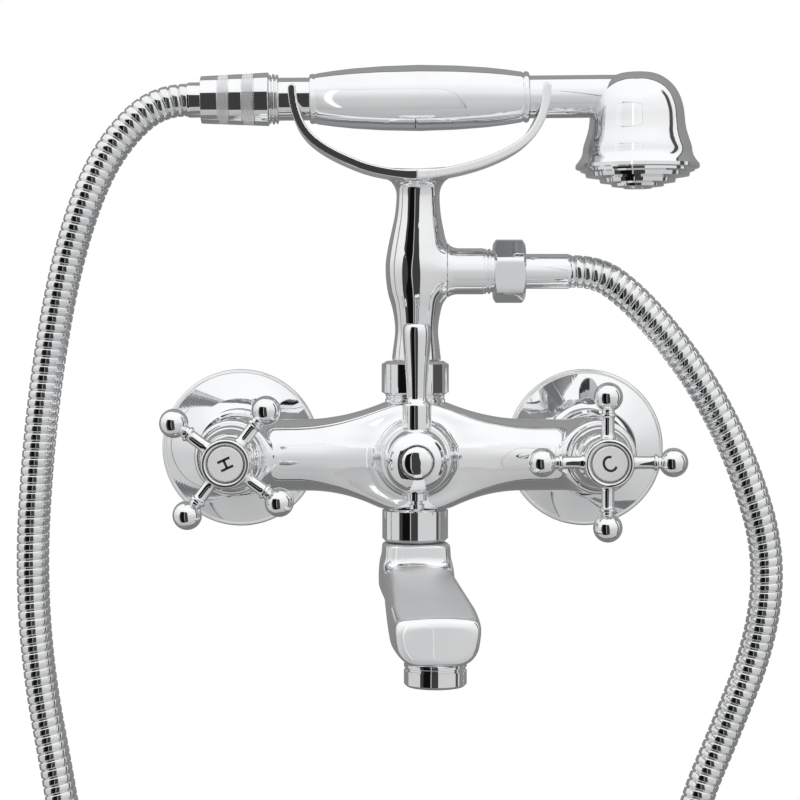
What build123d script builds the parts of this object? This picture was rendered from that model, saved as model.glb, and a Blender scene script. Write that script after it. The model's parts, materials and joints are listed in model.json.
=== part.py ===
"""Wall mounted bath faucet with two cross handles, a lever diverter and a hand shower.

Millimetres, +Z up. The wall is the plane Y = 0 and the faucet stands out towards -Y, with +X to
the right of someone who faces it. The origin is on the wall, midway between the two supply pipes.
"""

import os
from math import cos, pi, radians, sin, tan

from build123d import *

# Supply connections
inlet_spacing = 150.0  # between the two supply pipes
wall_thread_radius = 10.4775  # G1/2 male thread, crest
wall_thread_length = 14.0
union_offset = 7.5  # the body's axis stands this far above the supply pipes
union_thread_radius = 13.22  # G3/4 male thread, crest
union_end = 19.0  # distance of the union's open end from the wall
rosette_radius = 34.2
rosette_neck_end = union_end - 4.0
nut_across_flats = 30.0
nut_collar_radius = 17.6

# Body
body_distance = union_end + 31.0  # from the wall to the axis of the body's bar
bar_radius = 15.0
bar_wall = 4.0
valve_end_radius = 15.4  # of the two round ends that hold the valves
front_port_radius = 14.7
end_back = body_distance - 19.0
end_front = body_distance + 16.0
centre_front = body_distance + 22.0
valve_seat = body_distance - 7.0  # floor of the two valve bores
diverter_seat = body_distance - 6.0  # floor of the diverter's bore
port_radius = 12.35
port_top = 23.5
port_bottom = -21.9

# Valves and handles
headwork_radius = 9.5
spindle_radius = 4.0
bonnet_radius = 13.2
bonnet_front = end_front + 13.0
hub_radius = 9.7
hub_front = bonnet_front + 26.0
arm_distance = hub_front - 8.0  # from the wall to the plane of the handle's arms
arm_radius = 2.85
arm_reach = 25.8  # from the hub's axis to the middle of a ball
ball_radius = 5.8
hot_handle_turn = 53.0
cold_handle_turn = 0.0

# Diverter
dome_radius = 13.15
dome_back = centre_front + 3.0
dome_front = dome_back + 20.5
lever_distance = dome_back + 8.0
lever_length = 54.8

# Riser with its shower outlet, and the cradle
riser_nut_bottom = 24.8
riser_nut_top = 38.9
riser_nut_flats = 24.7
riser_thread_radius = 11.0
riser_top = 111.0
riser_bore = 5.5
outlet_height = 75.9  # above the body's axis
outlet_radius = 9.3
outlet_reach = 31.0
cradle_width = 26.0
cradle_thickness = 3.6
cradle_half_span = 52.5
cradle_shift = 1.3  # of the forks' middle to the right of the riser

# Hand shower
handset_height = 147.1  # of its axis above the body's axis, at the middle of the cradle
handset_tilt = 0.6  # degrees, the head end up
handset_radius = 8.75
grip_radius = 13.5
grip_start = -43.5
grip_end = 46.9
head_position = 91.4
head_rim_radius = 25.5
head_neck = 15.0  # from the head's axis to the end of the tube

# Spout
swivel_radius = 13.65
swivel_bottom = -35.6
spout_turn = 4.6  # degrees towards +X at rest
spout_reach = 90.0  # from the swivel's axis to the tip
spout_width = 36.0
spout_underside = -74.5
aerator_radius = 12.0
aerator_position = spout_reach - 13.0
aerator_bottom = spout_underside - 8.5

# Hose
hose_diameter = 13.4
hose_thread_radius = 10.25
hose_nut_flats = 24.0
ferrule_radius = 7.2

# Clearances
running_gap = 0.05  # a spindle in its bore
fit_gap = 0.03  # a ring or a sleeve on its seat
part_gap = 0.5  # between pieces that turn past each other

axis_height = union_offset
half_spacing = inlet_spacing / 2


def forward(x, height=0.0):
    """Plane of a turning axis that leaves the wall at x: its x is the distance from the wall."""
    return Plane(origin=(x, 0, axis_height + height), x_dir=(0, -1, 0), z_dir=(-1, 0, 0))


def upright(x=0.0, distance=body_distance):
    """Plane of a vertical turning axis: its x is the height above the body's axis."""
    return Plane(origin=(x, -distance, axis_height), x_dir=(0, 0, 1), z_dir=(0, 1, 0))


def sideways(height=0.0, distance=body_distance, tilt=0.0):
    """Plane of a turning axis that runs to the right, tilted up by some degrees."""
    along = (cos(radians(tilt)), 0, sin(radians(tilt)))
    return Plane(origin=(0, -distance, axis_height + height), x_dir=along, z_dir=(0, -1, 0))


def facing(distance):
    """Plane parallel to the wall, seen from the user: y is the height above the body's axis."""
    return Plane(origin=(0, -distance, axis_height), x_dir=(1, 0, 0), z_dir=(0, -1, 0))


def level(height, x=0.0, distance=body_distance):
    """Horizontal plane at a height above the body's axis."""
    return Plane(origin=(x, -distance, axis_height + height), x_dir=(1, 0, 0), z_dir=(0, 0, 1))


def turn(plane, *outline, mode=Mode.ADD):
    """Turn a closed outline of (along, radius) corners about the x direction of a plane."""
    with BuildSketch(plane) as section:
        with BuildLine():
            Polyline(*outline, close=True)
        make_face()
    revolve(section.sketch, axis=Axis(plane.origin, plane.x_dir), mode=mode)


def turn_solid(plane, *stations, mode=Mode.ADD):
    """Turn a stepped shaft from the axis through (along, radius) stations and back to the axis."""
    turn(plane, (stations[0][0], 0), *stations, (stations[-1][0], 0), mode=mode)


def turn_ring(plane, start, end, inner, outer, mode=Mode.ADD):
    """Turn a plain ring or sleeve."""
    turn(plane, (start, inner), (end, inner), (end, outer), (start, outer), mode=mode)


def turn_smooth(plane, curve, inner=0.0, mode=Mode.ADD):
    """Turn a smooth silhouette, a spline through (along, radius) points, down to an inner radius."""
    with BuildSketch(plane) as section:
        with BuildLine():
            silhouette = Spline(*curve)
            Polyline(silhouette @ 1, (curve[-1][0], inner), (curve[0][0], inner), silhouette @ 0)
        make_face()
    revolve(section.sketch, axis=Axis(plane.origin, plane.x_dir), mode=mode)


def hexagon(plane, along, length, flats, turned=0.0):
    """A hexagonal prism about the x direction of a plane, from along to along + length."""
    face = Plane(
        origin=plane.origin + plane.x_dir * along, x_dir=plane.y_dir, z_dir=plane.x_dir
    )
    with BuildSketch(face) as section:
        RegularPolygon(flats / 2, 6, major_radius=False, rotation=turned)
    extrude(section.sketch, amount=length)


def save(piece, node):
    """Label a finished piece and write its STEP file."""
    piece.part.label = node
    export_step(piece.part, f"parts/{node}.step")


# ---------------------------------------------------------------- supply unions and rosettes


def make_union(side, x):
    """Eccentric union: G1/2 into the wall, G3/4 towards the body, joined by a round shoulder."""
    wall_side = forward(x, -axis_height)
    body_side = forward(x)
    shoulder = forward(x, -union_offset / 2)
    with BuildPart() as union:
        turn_solid(wall_side, (-wall_thread_length, wall_thread_radius), (0, wall_thread_radius))
        turn_solid(shoulder, (0, 18.0), (4.0, 18.0))
        turn_solid(body_side, (4.0, union_thread_radius), (union_end, union_thread_radius))
        turn_solid(wall_side, (-wall_thread_length, 7.0), (6.0, 7.0), mode=Mode.SUBTRACT)
        turn_solid(body_side, (2.0, 9.0), (union_end, 9.0), mode=Mode.SUBTRACT)
    save(union, f"{side}_union")


def make_rosette(side, x):
    """Shallow conical cover that screws on the union and hides the hole in the wall."""
    with BuildPart() as rosette:
        turn(
            forward(x),
            (0, rosette_radius - 0.6),
            (0.8, rosette_radius),
            (1.8, rosette_radius),
            (6.0, rosette_radius - 9.6),
            (rosette_neck_end - 4.5, 18.4),
            (rosette_neck_end - 2.0, 16.8),
            (rosette_neck_end, 16.4),
            (rosette_neck_end, union_thread_radius + fit_gap),
            (rosette_neck_end - 6.0, union_thread_radius + fit_gap),
            (rosette_neck_end - 6.0, 16.9),
            (4.6, rosette_radius - 10.6),
            (1.2, rosette_radius - 2.7),
            (0, rosette_radius - 2.7),
        )
    save(rosette, f"{side}_rosette")


def make_union_nut(side, x):
    """Union nut: a hexagon with a round collar in front, loose on the body's inlet tail."""
    with BuildPart() as nut:
        hexagon(forward(x), rosette_neck_end + part_gap, 9.0, nut_across_flats)
        turn_solid(
            forward(x),
            (union_end + 5.5, nut_collar_radius - 0.8),
            (union_end + 6.3, nut_collar_radius),
            (union_end + 10.0, nut_collar_radius),
            (union_end + 11.0, nut_collar_radius - 1.0),
        )
        turn_solid(
            forward(x),
            (rosette_neck_end, union_thread_radius + fit_gap),
            (union_end + 4.6, union_thread_radius + fit_gap),
            mode=Mode.SUBTRACT,
        )
        turn_solid(forward(x), (union_end + 4.0, 11.2), (end_back, 11.2), mode=Mode.SUBTRACT)
    save(nut, f"{side}_union_nut")


def make_inlet_seal(side, x):
    """Flat fibre washer between the union and the body's inlet tail."""
    with BuildPart() as seal:
        turn_ring(forward(x), union_end, union_end + 2.0, 9.3, 12.9)
    save(seal, f"{side}_inlet_seal")


# ---------------------------------------------------------------- body


def make_mixer_body():
    """Cast body: a bar between two valve ends, with a top, a bottom and a front port."""
    bar = sideways()
    with BuildPart() as body:
        with BuildSketch(Plane(origin=bar.origin, x_dir=(0, 1, 0), z_dir=(1, 0, 0))):
            Circle(bar_radius)
        extrude(amount=half_spacing, both=True)
        with BuildSketch(level(port_bottom)):
            Circle(port_radius)
        extrude(amount=port_top - port_bottom)
        meeting = body.edges().filter_by(GeomType.BSPLINE) + body.edges().filter_by(GeomType.OTHER)
        fillet(meeting, min(port_top, -port_bottom) - bar_radius - 0.4)
        for x in (-half_spacing, half_spacing):
            turn_solid(
                forward(x),
                (end_back, valve_end_radius - 1.2),
                (end_back + 1.2, valve_end_radius),
                (end_front - 1.2, valve_end_radius),
                (end_front, valve_end_radius - 1.2),
            )
            turn_solid(
                forward(x),
                (union_end + 2.0, 12.9),
                (union_end + 4.4, 12.9),
                (union_end + 4.4, 11.0),
                (end_back, 11.0),
            )
        turn_solid(
            forward(0),
            (body_distance, front_port_radius),
            (centre_front - 1.2, front_port_radius),
            (centre_front, front_port_radius - 1.2),
        )
        turn_solid(upright(), (port_top, riser_thread_radius), (31.0, riser_thread_radius))
        turn_solid(upright(), (-30.2, 11.5), (port_bottom, 11.5))
        for x in (-half_spacing, half_spacing):
            turn_solid(
                forward(x), (union_end + 2.0, 8.0), (valve_seat + 1.0, 8.0), mode=Mode.SUBTRACT
            )
            turn_solid(
                forward(x), (valve_seat, headwork_radius), (end_front, headwork_radius), mode=Mode.SUBTRACT
            )
        bore = bar_radius - 2 * bar_wall
        turn_solid(bar, (-half_spacing, bore), (half_spacing, bore), mode=Mode.SUBTRACT)
        turn_solid(forward(0), (diverter_seat, 10.5), (centre_front, 10.5), mode=Mode.SUBTRACT)
        turn_solid(upright(), (0, 6.5), (31.0, 6.5), mode=Mode.SUBTRACT)
        turn_solid(upright(), (-30.2, 8.5), (-11.0, 8.5), (-11.0, 6.5), (0, 6.5), mode=Mode.SUBTRACT)
    save(body, "mixer_body")


# ---------------------------------------------------------------- valves


def make_seat_seal(side, x):
    """Rubber ring on which the headwork seals at the bottom of its bore."""
    with BuildPart() as seal:
        turn_ring(forward(x), valve_seat, valve_seat + 1.6, 6.0, headwork_radius - fit_gap)
    save(seal, f"{side}_seat_seal")


def make_fixed_disc(side, x):
    """Lower ceramic disc with two openings, held still in the headwork."""
    with BuildPart() as disc:
        turn_solid(forward(x), (valve_seat + 1.6, 7.4), (valve_seat + 4.0, 7.4))
        with BuildSketch(facing(valve_seat + 4.0)):
            with Locations((x - 3.6, 0), (x + 3.6, 0)):
                Circle(2.4)
        extrude(amount=-2.4, mode=Mode.SUBTRACT)
    save(disc, f"{side}_fixed_disc")


def make_turning_disc(side, x):
    """Upper ceramic disc, which the spindle turns over the lower one."""
    with BuildPart() as disc:
        turn_solid(forward(x), (valve_seat + 4.0 + running_gap, 7.4), (valve_seat + 6.4, 7.4))
        with BuildSketch(facing(valve_seat + 6.4)):
            with Locations((x + 3.6, 0)):
                Circle(2.4)
            with Locations((x, 0)):
                Rectangle(3.0, 6.0)
        extrude(amount=-2.35, mode=Mode.SUBTRACT)
    save(disc, f"{side}_turning_disc")


def make_headwork(side, x):
    """Brass headwork of the valve: a cage over the discs with side ports, and a threaded neck."""
    with BuildPart() as headwork:
        turn_solid(
            forward(x),
            (valve_seat + 1.6, headwork_radius - fit_gap),
            (end_front, headwork_radius - fit_gap),
            (end_front, 11.6),
            (end_front + 3.0, 11.6),
            (end_front + 3.0, 8.0),
            (bonnet_front - 1.5, 8.0),
        )
        turn_solid(
            forward(x), (valve_seat + 1.6, 7.45), (valve_seat + 9.2, 7.45), mode=Mode.SUBTRACT
        )
        turn_solid(
            forward(x),
            (valve_seat + 9.0, spindle_radius + running_gap),
            (bonnet_front, spindle_radius + running_gap),
            mode=Mode.SUBTRACT,
        )
        with BuildSketch(facing(valve_seat + 6.5)):
            with Locations((x, 0)):
                Rectangle(4 * headwork_radius, 6.0)
        extrude(amount=2.3, mode=Mode.SUBTRACT)
    save(headwork, f"{side}_headwork")


def make_spindle(side, x):
    """Valve spindle: a foot that drives the turning disc, a shaft, and a seat for the handle."""
    with BuildPart() as spindle:
        turn_solid(
            forward(x),
            (valve_seat + 6.4, 5.6),
            (valve_seat + 8.6, 5.6),
            (valve_seat + 8.6, spindle_radius),
            (hub_front - 9.0, spindle_radius),
        )
        with BuildSketch(facing(valve_seat + 6.4)):
            with Locations((x, 0)):
                Rectangle(2.8, 5.8)
        extrude(amount=-1.8)
        turn_solid(
            forward(x), (hub_front - 21.0, 2.05), (hub_front - 9.0, 2.05), mode=Mode.SUBTRACT
        )
    save(spindle, f"{side}_spindle")


def make_bonnet(side, x):
    """Chrome sleeve that covers the headwork between the body and the handle."""
    with BuildPart() as bonnet:
        turn(
            forward(x),
            (end_front, bonnet_radius - 0.5),
            (end_front + 0.5, bonnet_radius),
            (end_front + 5.0, bonnet_radius),
            (end_front + 6.4, bonnet_radius - 1.2),
            (end_front + 8.6, 11.2),
            (bonnet_front - 1.0, 10.6),
            (bonnet_front, 10.0),
            (bonnet_front, 8.0 + fit_gap),
            (end_front + 3.0 + fit_gap, 8.0 + fit_gap),
            (end_front + 3.0 + fit_gap, 11.6 + fit_gap),
            (end_front, 11.6 + fit_gap),
        )
    save(bonnet, f"{side}_bonnet")


# ---------------------------------------------------------------- cross handles


def make_cross_handle(side, x, turned):
    """Cross handle: a hub with four slender arms that end in balls, cast in one piece."""
    with BuildPart() as handle:
        turn_solid(
            forward(x),
            (bonnet_front + part_gap, 8.8),
            (bonnet_front + 3.0, hub_radius - 0.3),
            (bonnet_front + 5.0, hub_radius),
            (hub_front - 1.0, hub_radius),
            (hub_front, hub_radius - 1.0),
        )
        for quarter in range(4):
            angle = radians(turned + 90 * quarter)
            arm = Plane(
                origin=(x, -arm_distance, axis_height),
                x_dir=(cos(angle), 0, sin(angle)),
                z_dir=(0, -1, 0),
            )
            turn_solid(
                arm,
                (4.0, arm_radius + 0.9),
                (hub_radius, arm_radius + 0.9),
                (hub_radius + 2.4, arm_radius),
                (arm_reach - ball_radius - 2.2, arm_radius),
                (arm_reach - ball_radius - 1.4, arm_radius + 0.8),
                (arm_reach - ball_radius - 0.2, arm_radius + 0.8),
                (arm_reach - ball_radius + 0.4, arm_radius),
                (arm_reach, arm_radius),
            )
            ball = [
                (arm_reach - ball_radius, 0),
                (arm_reach, ball_radius),
                (arm_reach + ball_radius, 0),
            ]
            with BuildSketch(arm) as half_round:
                with BuildLine():
                    ThreePointArc(*ball)
                    Line(ball[2], ball[0])
                make_face()
            revolve(half_round.sketch, axis=Axis(arm.origin, arm.x_dir))
        turn_solid(
            forward(x),
            (bonnet_front - 1.0, spindle_radius),
            (hub_front - 9.0, spindle_radius),
            mode=Mode.SUBTRACT,
        )
        turn_solid(forward(x), (hub_front - 10.0, 2.2), (hub_front, 2.2), mode=Mode.SUBTRACT)
        turn_solid(forward(x), (hub_front - 6.5, 4.2), (hub_front, 4.2), mode=Mode.SUBTRACT)
        turn_solid(
            forward(x), (hub_front - 1.8, 7.35), (hub_front, 7.35), mode=Mode.SUBTRACT
        )
    save(handle, f"{side}_handle")


def make_handle_screw(side, x):
    """Screw that draws the handle onto its spindle, under the index disc."""
    with BuildPart() as screw:
        turn_solid(
            forward(x),
            (hub_front - 19.0, 2.0),
            (hub_front - 6.5, 2.0),
            (hub_front - 6.5, 3.6),
            (hub_front - 4.0, 3.6),
        )
        with BuildSketch(facing(hub_front - 4.0)):
            with Locations((x, 0)):
                RegularPolygon(1.5, 6, major_radius=False)
        extrude(amount=-1.6, mode=Mode.SUBTRACT)
    save(screw, f"{side}_handle_screw")


def make_index(side, x):
    """Satin index disc that snaps into the front of the hub."""
    with BuildPart() as index:
        turn_solid(
            forward(x),
            (hub_front - 1.8, 7.15),
            (hub_front - 0.4, 7.15),
            (hub_front - 0.1, 6.85),
        )
    save(index, f"{side}_index")


# ---------------------------------------------------------------- diverter


def make_diverter_cartridge():
    """Diverter cartridge in the body's front port, with a neck that guides the spindle."""
    with BuildPart() as cartridge:
        turn_solid(
            forward(0),
            (diverter_seat + 3.2, 10.5 - fit_gap),
            (centre_front, 10.5 - fit_gap),
            (centre_front, 12.2),
            (centre_front + 1.6, 12.2),
            (centre_front + 1.6, 8.0),
            (centre_front + 8.0, 8.0),
        )
        turn_solid(
            forward(0), (diverter_seat + 3.2, 7.0), (diverter_seat + 10.0, 7.0), mode=Mode.SUBTRACT
        )
        turn_solid(
            forward(0),
            (diverter_seat + 9.0, spindle_radius + running_gap),
            (centre_front + 8.0, spindle_radius + running_gap),
            mode=Mode.SUBTRACT,
        )
        with BuildSketch(level(-14.0)):
            Rectangle(8.0, 5.0)
        extrude(amount=28.0, mode=Mode.SUBTRACT)
    save(cartridge, "diverter_cartridge")


def make_diverter_seal():
    """Rubber ring at the bottom of the diverter's bore."""
    with BuildPart() as seal:
        turn_ring(forward(0), diverter_seat, diverter_seat + 1.2, 7.5, 10.5 - fit_gap)
    save(seal, "diverter_seal")


def make_diverter_fixed_disc():
    """Lower ceramic disc of the diverter, with an opening towards each outlet."""
    with BuildPart() as disc:
        turn_solid(forward(0), (diverter_seat + 1.2, 10.0), (diverter_seat + 3.2, 10.0))
        with BuildSketch(facing(diverter_seat + 3.2)):
            with Locations((0, 4.4), (0, -4.4)):
                Circle(2.2)
        extrude(amount=-2.0, mode=Mode.SUBTRACT)
    save(disc, "diverter_fixed_disc")


def make_diverter_turning_disc():
    """Upper ceramic disc of the diverter, which lets the water to one outlet at a time."""
    with BuildPart() as disc:
        turn_solid(
            forward(0), (diverter_seat + 3.2 + running_gap, 6.8), (diverter_seat + 5.6, 6.8)
        )
        with BuildSketch(facing(diverter_seat + 5.6)):
            with Locations((0, 4.0)):
                Circle(1.9)
        extrude(amount=-2.4, mode=Mode.SUBTRACT)
    save(disc, "diverter_turning_disc")


def make_diverter_spindle():
    """Spindle between the diverter's lever and its turning disc."""
    with BuildPart() as spindle:
        turn_solid(
            forward(0),
            (diverter_seat + 5.6, 5.4),
            (diverter_seat + 8.4, 5.4),
            (diverter_seat + 8.4, spindle_radius),
            (dome_front - 7.5, spindle_radius),
        )
    save(spindle, "diverter_spindle")


def make_diverter_dome():
    """Rounded hub of the diverter lever, with seats for the lever, the stud and the button."""
    shoulder = dome_front - 7.5
    button_seat = 6.6
    with BuildPart() as dome:
        with BuildSketch(forward(0)) as section:
            with BuildLine():
                Polyline(
                    (shoulder, dome_radius),
                    (dome_back + 1.0, dome_radius),
                    (dome_back, dome_radius - 1.0),
                    (dome_back, 0),
                    (dome_front, 0),
                    (dome_front, button_seat),
                )
                ThreePointArc(
                    (dome_front, button_seat), (dome_front - 2.4, 11.2), (shoulder, dome_radius)
                )
            make_face()
        revolve(section.sketch, axis=Axis(forward(0).origin, forward(0).x_dir))
        turn_solid(
            forward(0), (dome_back, 8.5), (centre_front + 8.5, 8.5), mode=Mode.SUBTRACT
        )
        turn_solid(
            forward(0), (dome_back, spindle_radius), (shoulder, spindle_radius), mode=Mode.SUBTRACT
        )
        turn_solid(
            forward(0), (dome_front - 2.0, button_seat), (dome_front, button_seat), mode=Mode.SUBTRACT
        )
        cross = upright(0, lever_distance)
        turn_solid(cross, (dome_radius - 4.35, 3.0), (dome_radius, 3.0), mode=Mode.SUBTRACT)
        turn_solid(cross, (-dome_radius, 1.6), (4.15 - dome_radius, 1.6), mode=Mode.SUBTRACT)
    save(dome, "diverter_dome")


def make_diverter_lever():
    """Lever that stands up from the dome: a thick neck, a slim waist and a swelling rounded tip."""
    lever = upright(0, lever_distance)
    neck_end = dome_radius + 10.85
    seat = dome_radius - 0.55
    with BuildPart() as handle:
        turn_solid(lever, (dome_radius - 4.15, 3.0), (seat + 0.8, 3.0))
        turn_smooth(
            lever,
            [
                (neck_end, 4.35),
                (neck_end + 8.0, 4.6),
                (neck_end + 18.0, 5.3),
                (lever_length - 6.0, 5.9),
                (lever_length - 2.0, 4.9),
                (lever_length - 0.4, 2.2),
            ],
        )
        turn_solid(
            lever,
            (seat + 0.6, 5.0),
            (seat + 1.4, 5.8),
            (neck_end - 1.6, 5.8),
            (neck_end, 4.6),
        )
    save(handle, "diverter_lever")


def make_diverter_stud():
    """Small grooved stud opposite the lever, which locks the dome on its spindle."""
    cross = upright(0, lever_distance)
    with BuildPart() as stud:
        turn_solid(
            cross,
            (-20.2, 2.2),
            (-19.4, 3.0),
            (-17.6, 3.0),
            (-17.2, 2.3),
            (-16.6, 2.3),
            (-16.0, 4.1),
            (-dome_radius, 4.1),
            (-dome_radius, 1.5),
            (3.95 - dome_radius, 1.5),
        )
    save(stud, "diverter_stud")


def make_diverter_button():
    """Round cap in the middle of the dome."""
    with BuildPart() as button:
        turn_solid(
            forward(0),
            (dome_front - 2.0, 6.4),
            (dome_front + 1.4, 6.4),
            (dome_front + 2.2, 5.6),
            (dome_front + 2.5, 4.0),
        )
    save(button, "diverter_button")


# ---------------------------------------------------------------- riser, outlet and cradle


def make_riser_nut():
    """Hexagonal nut that holds the riser on the body's top port."""
    with BuildPart() as nut:
        hexagon(upright(), riser_nut_bottom, riser_nut_top - riser_nut_bottom, riser_nut_flats)
        with BuildSketch(upright()) as rounding:
            with BuildLine():
                Polyline(
                    (riser_nut_bottom, 12.9),
                    (riser_nut_bottom + 1.0, 14.26),
                    (riser_nut_top - 1.0, 14.26),
                    (riser_nut_top, 12.9),
                    (riser_nut_top, 0),
                    (riser_nut_bottom, 0),
                    close=True,
                )
            make_face()
        revolve(
            rounding.sketch,
            axis=Axis(upright().origin, upright().x_dir),
            mode=Mode.INTERSECT,
        )
        turn_solid(
            upright(),
            (riser_nut_bottom, riser_thread_radius + fit_gap),
            (35.0, riser_thread_radius + fit_gap),
            mode=Mode.SUBTRACT,
        )
        turn_solid(upright(), (34.0, 9.6), (riser_nut_top, 9.6), mode=Mode.SUBTRACT)
    save(nut, "riser_nut")


def make_riser_seal():
    """Flat washer between the top port and the riser's flange."""
    with BuildPart() as seal:
        turn_ring(upright(), 31.0, 32.6, riser_bore, 10.8)
    save(seal, "riser_seal")


def make_riser_column():
    """Cast riser with a round swelling from which the shower outlet leaves to the right."""
    outlet = sideways(outlet_height)
    thread_end = outlet_reach + 9.5
    with BuildPart() as riser:
        turn_solid(upright(), (32.6, 10.8), (34.8, 10.8), (34.8, 9.5), (riser_nut_top + 0.2, 9.5))
        turn_smooth(
            upright(),
            [
                (riser_nut_top + 0.2, 10.6),
                (44.0, 10.1),
                (53.0, 9.1),
                (60.0, 9.9),
                (67.0, 12.3),
                (outlet_height, 13.6),
                (84.5, 12.5),
                (92.0, 10.4),
                (100.0, 9.4),
                (riser_top, 9.3),
            ],
        )
        turn_solid(
            outlet,
            (0, outlet_radius),
            (outlet_reach - 3.2, outlet_radius),
            (outlet_reach - 3.2, outlet_radius - 0.5),
            (outlet_reach - 2.6, outlet_radius - 0.5),
            (outlet_reach - 2.6, outlet_radius),
            (outlet_reach, outlet_radius),
            (outlet_reach, hose_thread_radius),
            (thread_end, hose_thread_radius),
        )
        turn_solid(upright(), (32.6, riser_bore), (outlet_height, riser_bore), mode=Mode.SUBTRACT)
        turn_solid(outlet, (0, riser_bore), (thread_end, riser_bore), mode=Mode.SUBTRACT)
        turn_solid(upright(), (riser_top - 12.0, 2.55), (riser_top, 2.55), mode=Mode.SUBTRACT)
    save(riser, "riser_column")


def make_cradle():
    """Curved strap that ends in two upright forks, with a round pad where it sits on the riser."""
    foot_height = handset_height - 15.6
    tip_height = handset_height + 4.9
    left_tip = cradle_shift - cradle_half_span
    right_tip = cradle_shift + cradle_half_span
    lean = 3.6  # of each prong between its foot and its tip
    middle = (0, riser_top - 4.5)
    slot_radius = handset_radius + 0.35
    handset_axis = sideways(handset_height, tilt=handset_tilt)
    across = Plane(
        origin=handset_axis.origin - handset_axis.x_dir * 70.0,
        x_dir=(0, 1, 0),
        z_dir=handset_axis.x_dir,
    )
    with BuildPart() as cradle:
        with BuildSketch(facing(body_distance + cradle_width / 2)):
            with BuildLine():
                FilletPolyline(
                    (left_tip, tip_height),
                    (left_tip + lean, foot_height),
                    middle,
                    (right_tip - lean, foot_height),
                    (right_tip, tip_height),
                    radius=[12.0, 66.0, 12.0],
                )
                offset(amount=cradle_thickness, side=Side.LEFT)
            make_face()
        extrude(amount=-cradle_width)
        tips = cradle.edges().filter_by(Axis.X, tolerance=20).group_by(Axis.Z)[-1]
        fillet(tips, 1.8)
        turn_solid(upright(), (riser_top, 9.3), (riser_top + 6.0, 9.3))
        with BuildSketch(across) as notch:
            Circle(slot_radius)
            with Locations((0, 15.0)):
                Rectangle(2 * slot_radius, 30.0)
        extrude(notch.sketch, amount=140.0, mode=Mode.SUBTRACT)
        turn_solid(upright(), (riser_top, 2.55), (riser_top + 12.0, 2.55), mode=Mode.SUBTRACT)
    save(cradle, "cradle")


def make_cradle_screw():
    """Low-headed screw that fastens the cradle to the top of the riser."""
    head_seat = riser_top + 8.8
    with BuildPart() as screw:
        turn_solid(
            upright(),
            (riser_top - 9.0, 2.5),
            (head_seat, 2.5),
            (head_seat, 4.6),
            (head_seat + 1.6, 4.4),
            (head_seat + 2.4, 3.0),
        )
        with BuildSketch(level(head_seat + 2.4)):
            RegularPolygon(1.5, 6, major_radius=False)
        extrude(amount=-1.4, mode=Mode.SUBTRACT)
    save(screw, "cradle_screw")


# ---------------------------------------------------------------- spout


def spout_plane():
    """Side view of the spout: x is the distance forward of the swivel's axis, y the height."""
    angle = radians(spout_turn)
    forward_dir = Vector(sin(angle), -cos(angle), 0)
    return Plane(
        origin=(0, -body_distance, axis_height),
        x_dir=forward_dir,
        z_dir=forward_dir.cross(Vector(0, 0, 1)),
    )


def make_swivel_collar():
    """Collar that screws on the body's bottom port and carries the swivelling spout."""
    with BuildPart() as collar:
        turn(
            upright(),
            (swivel_bottom, 9.3),
            (swivel_bottom, swivel_radius - 1.2),
            (swivel_bottom + 1.2, swivel_radius),
            (port_bottom - 1.0, swivel_radius),
            (port_bottom, swivel_radius - 1.0),
            (port_bottom, 11.5 + fit_gap),
            (-33.2, 11.5 + fit_gap),
            (-33.2, 9.3),
        )
    save(collar, "swivel_collar")


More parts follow.
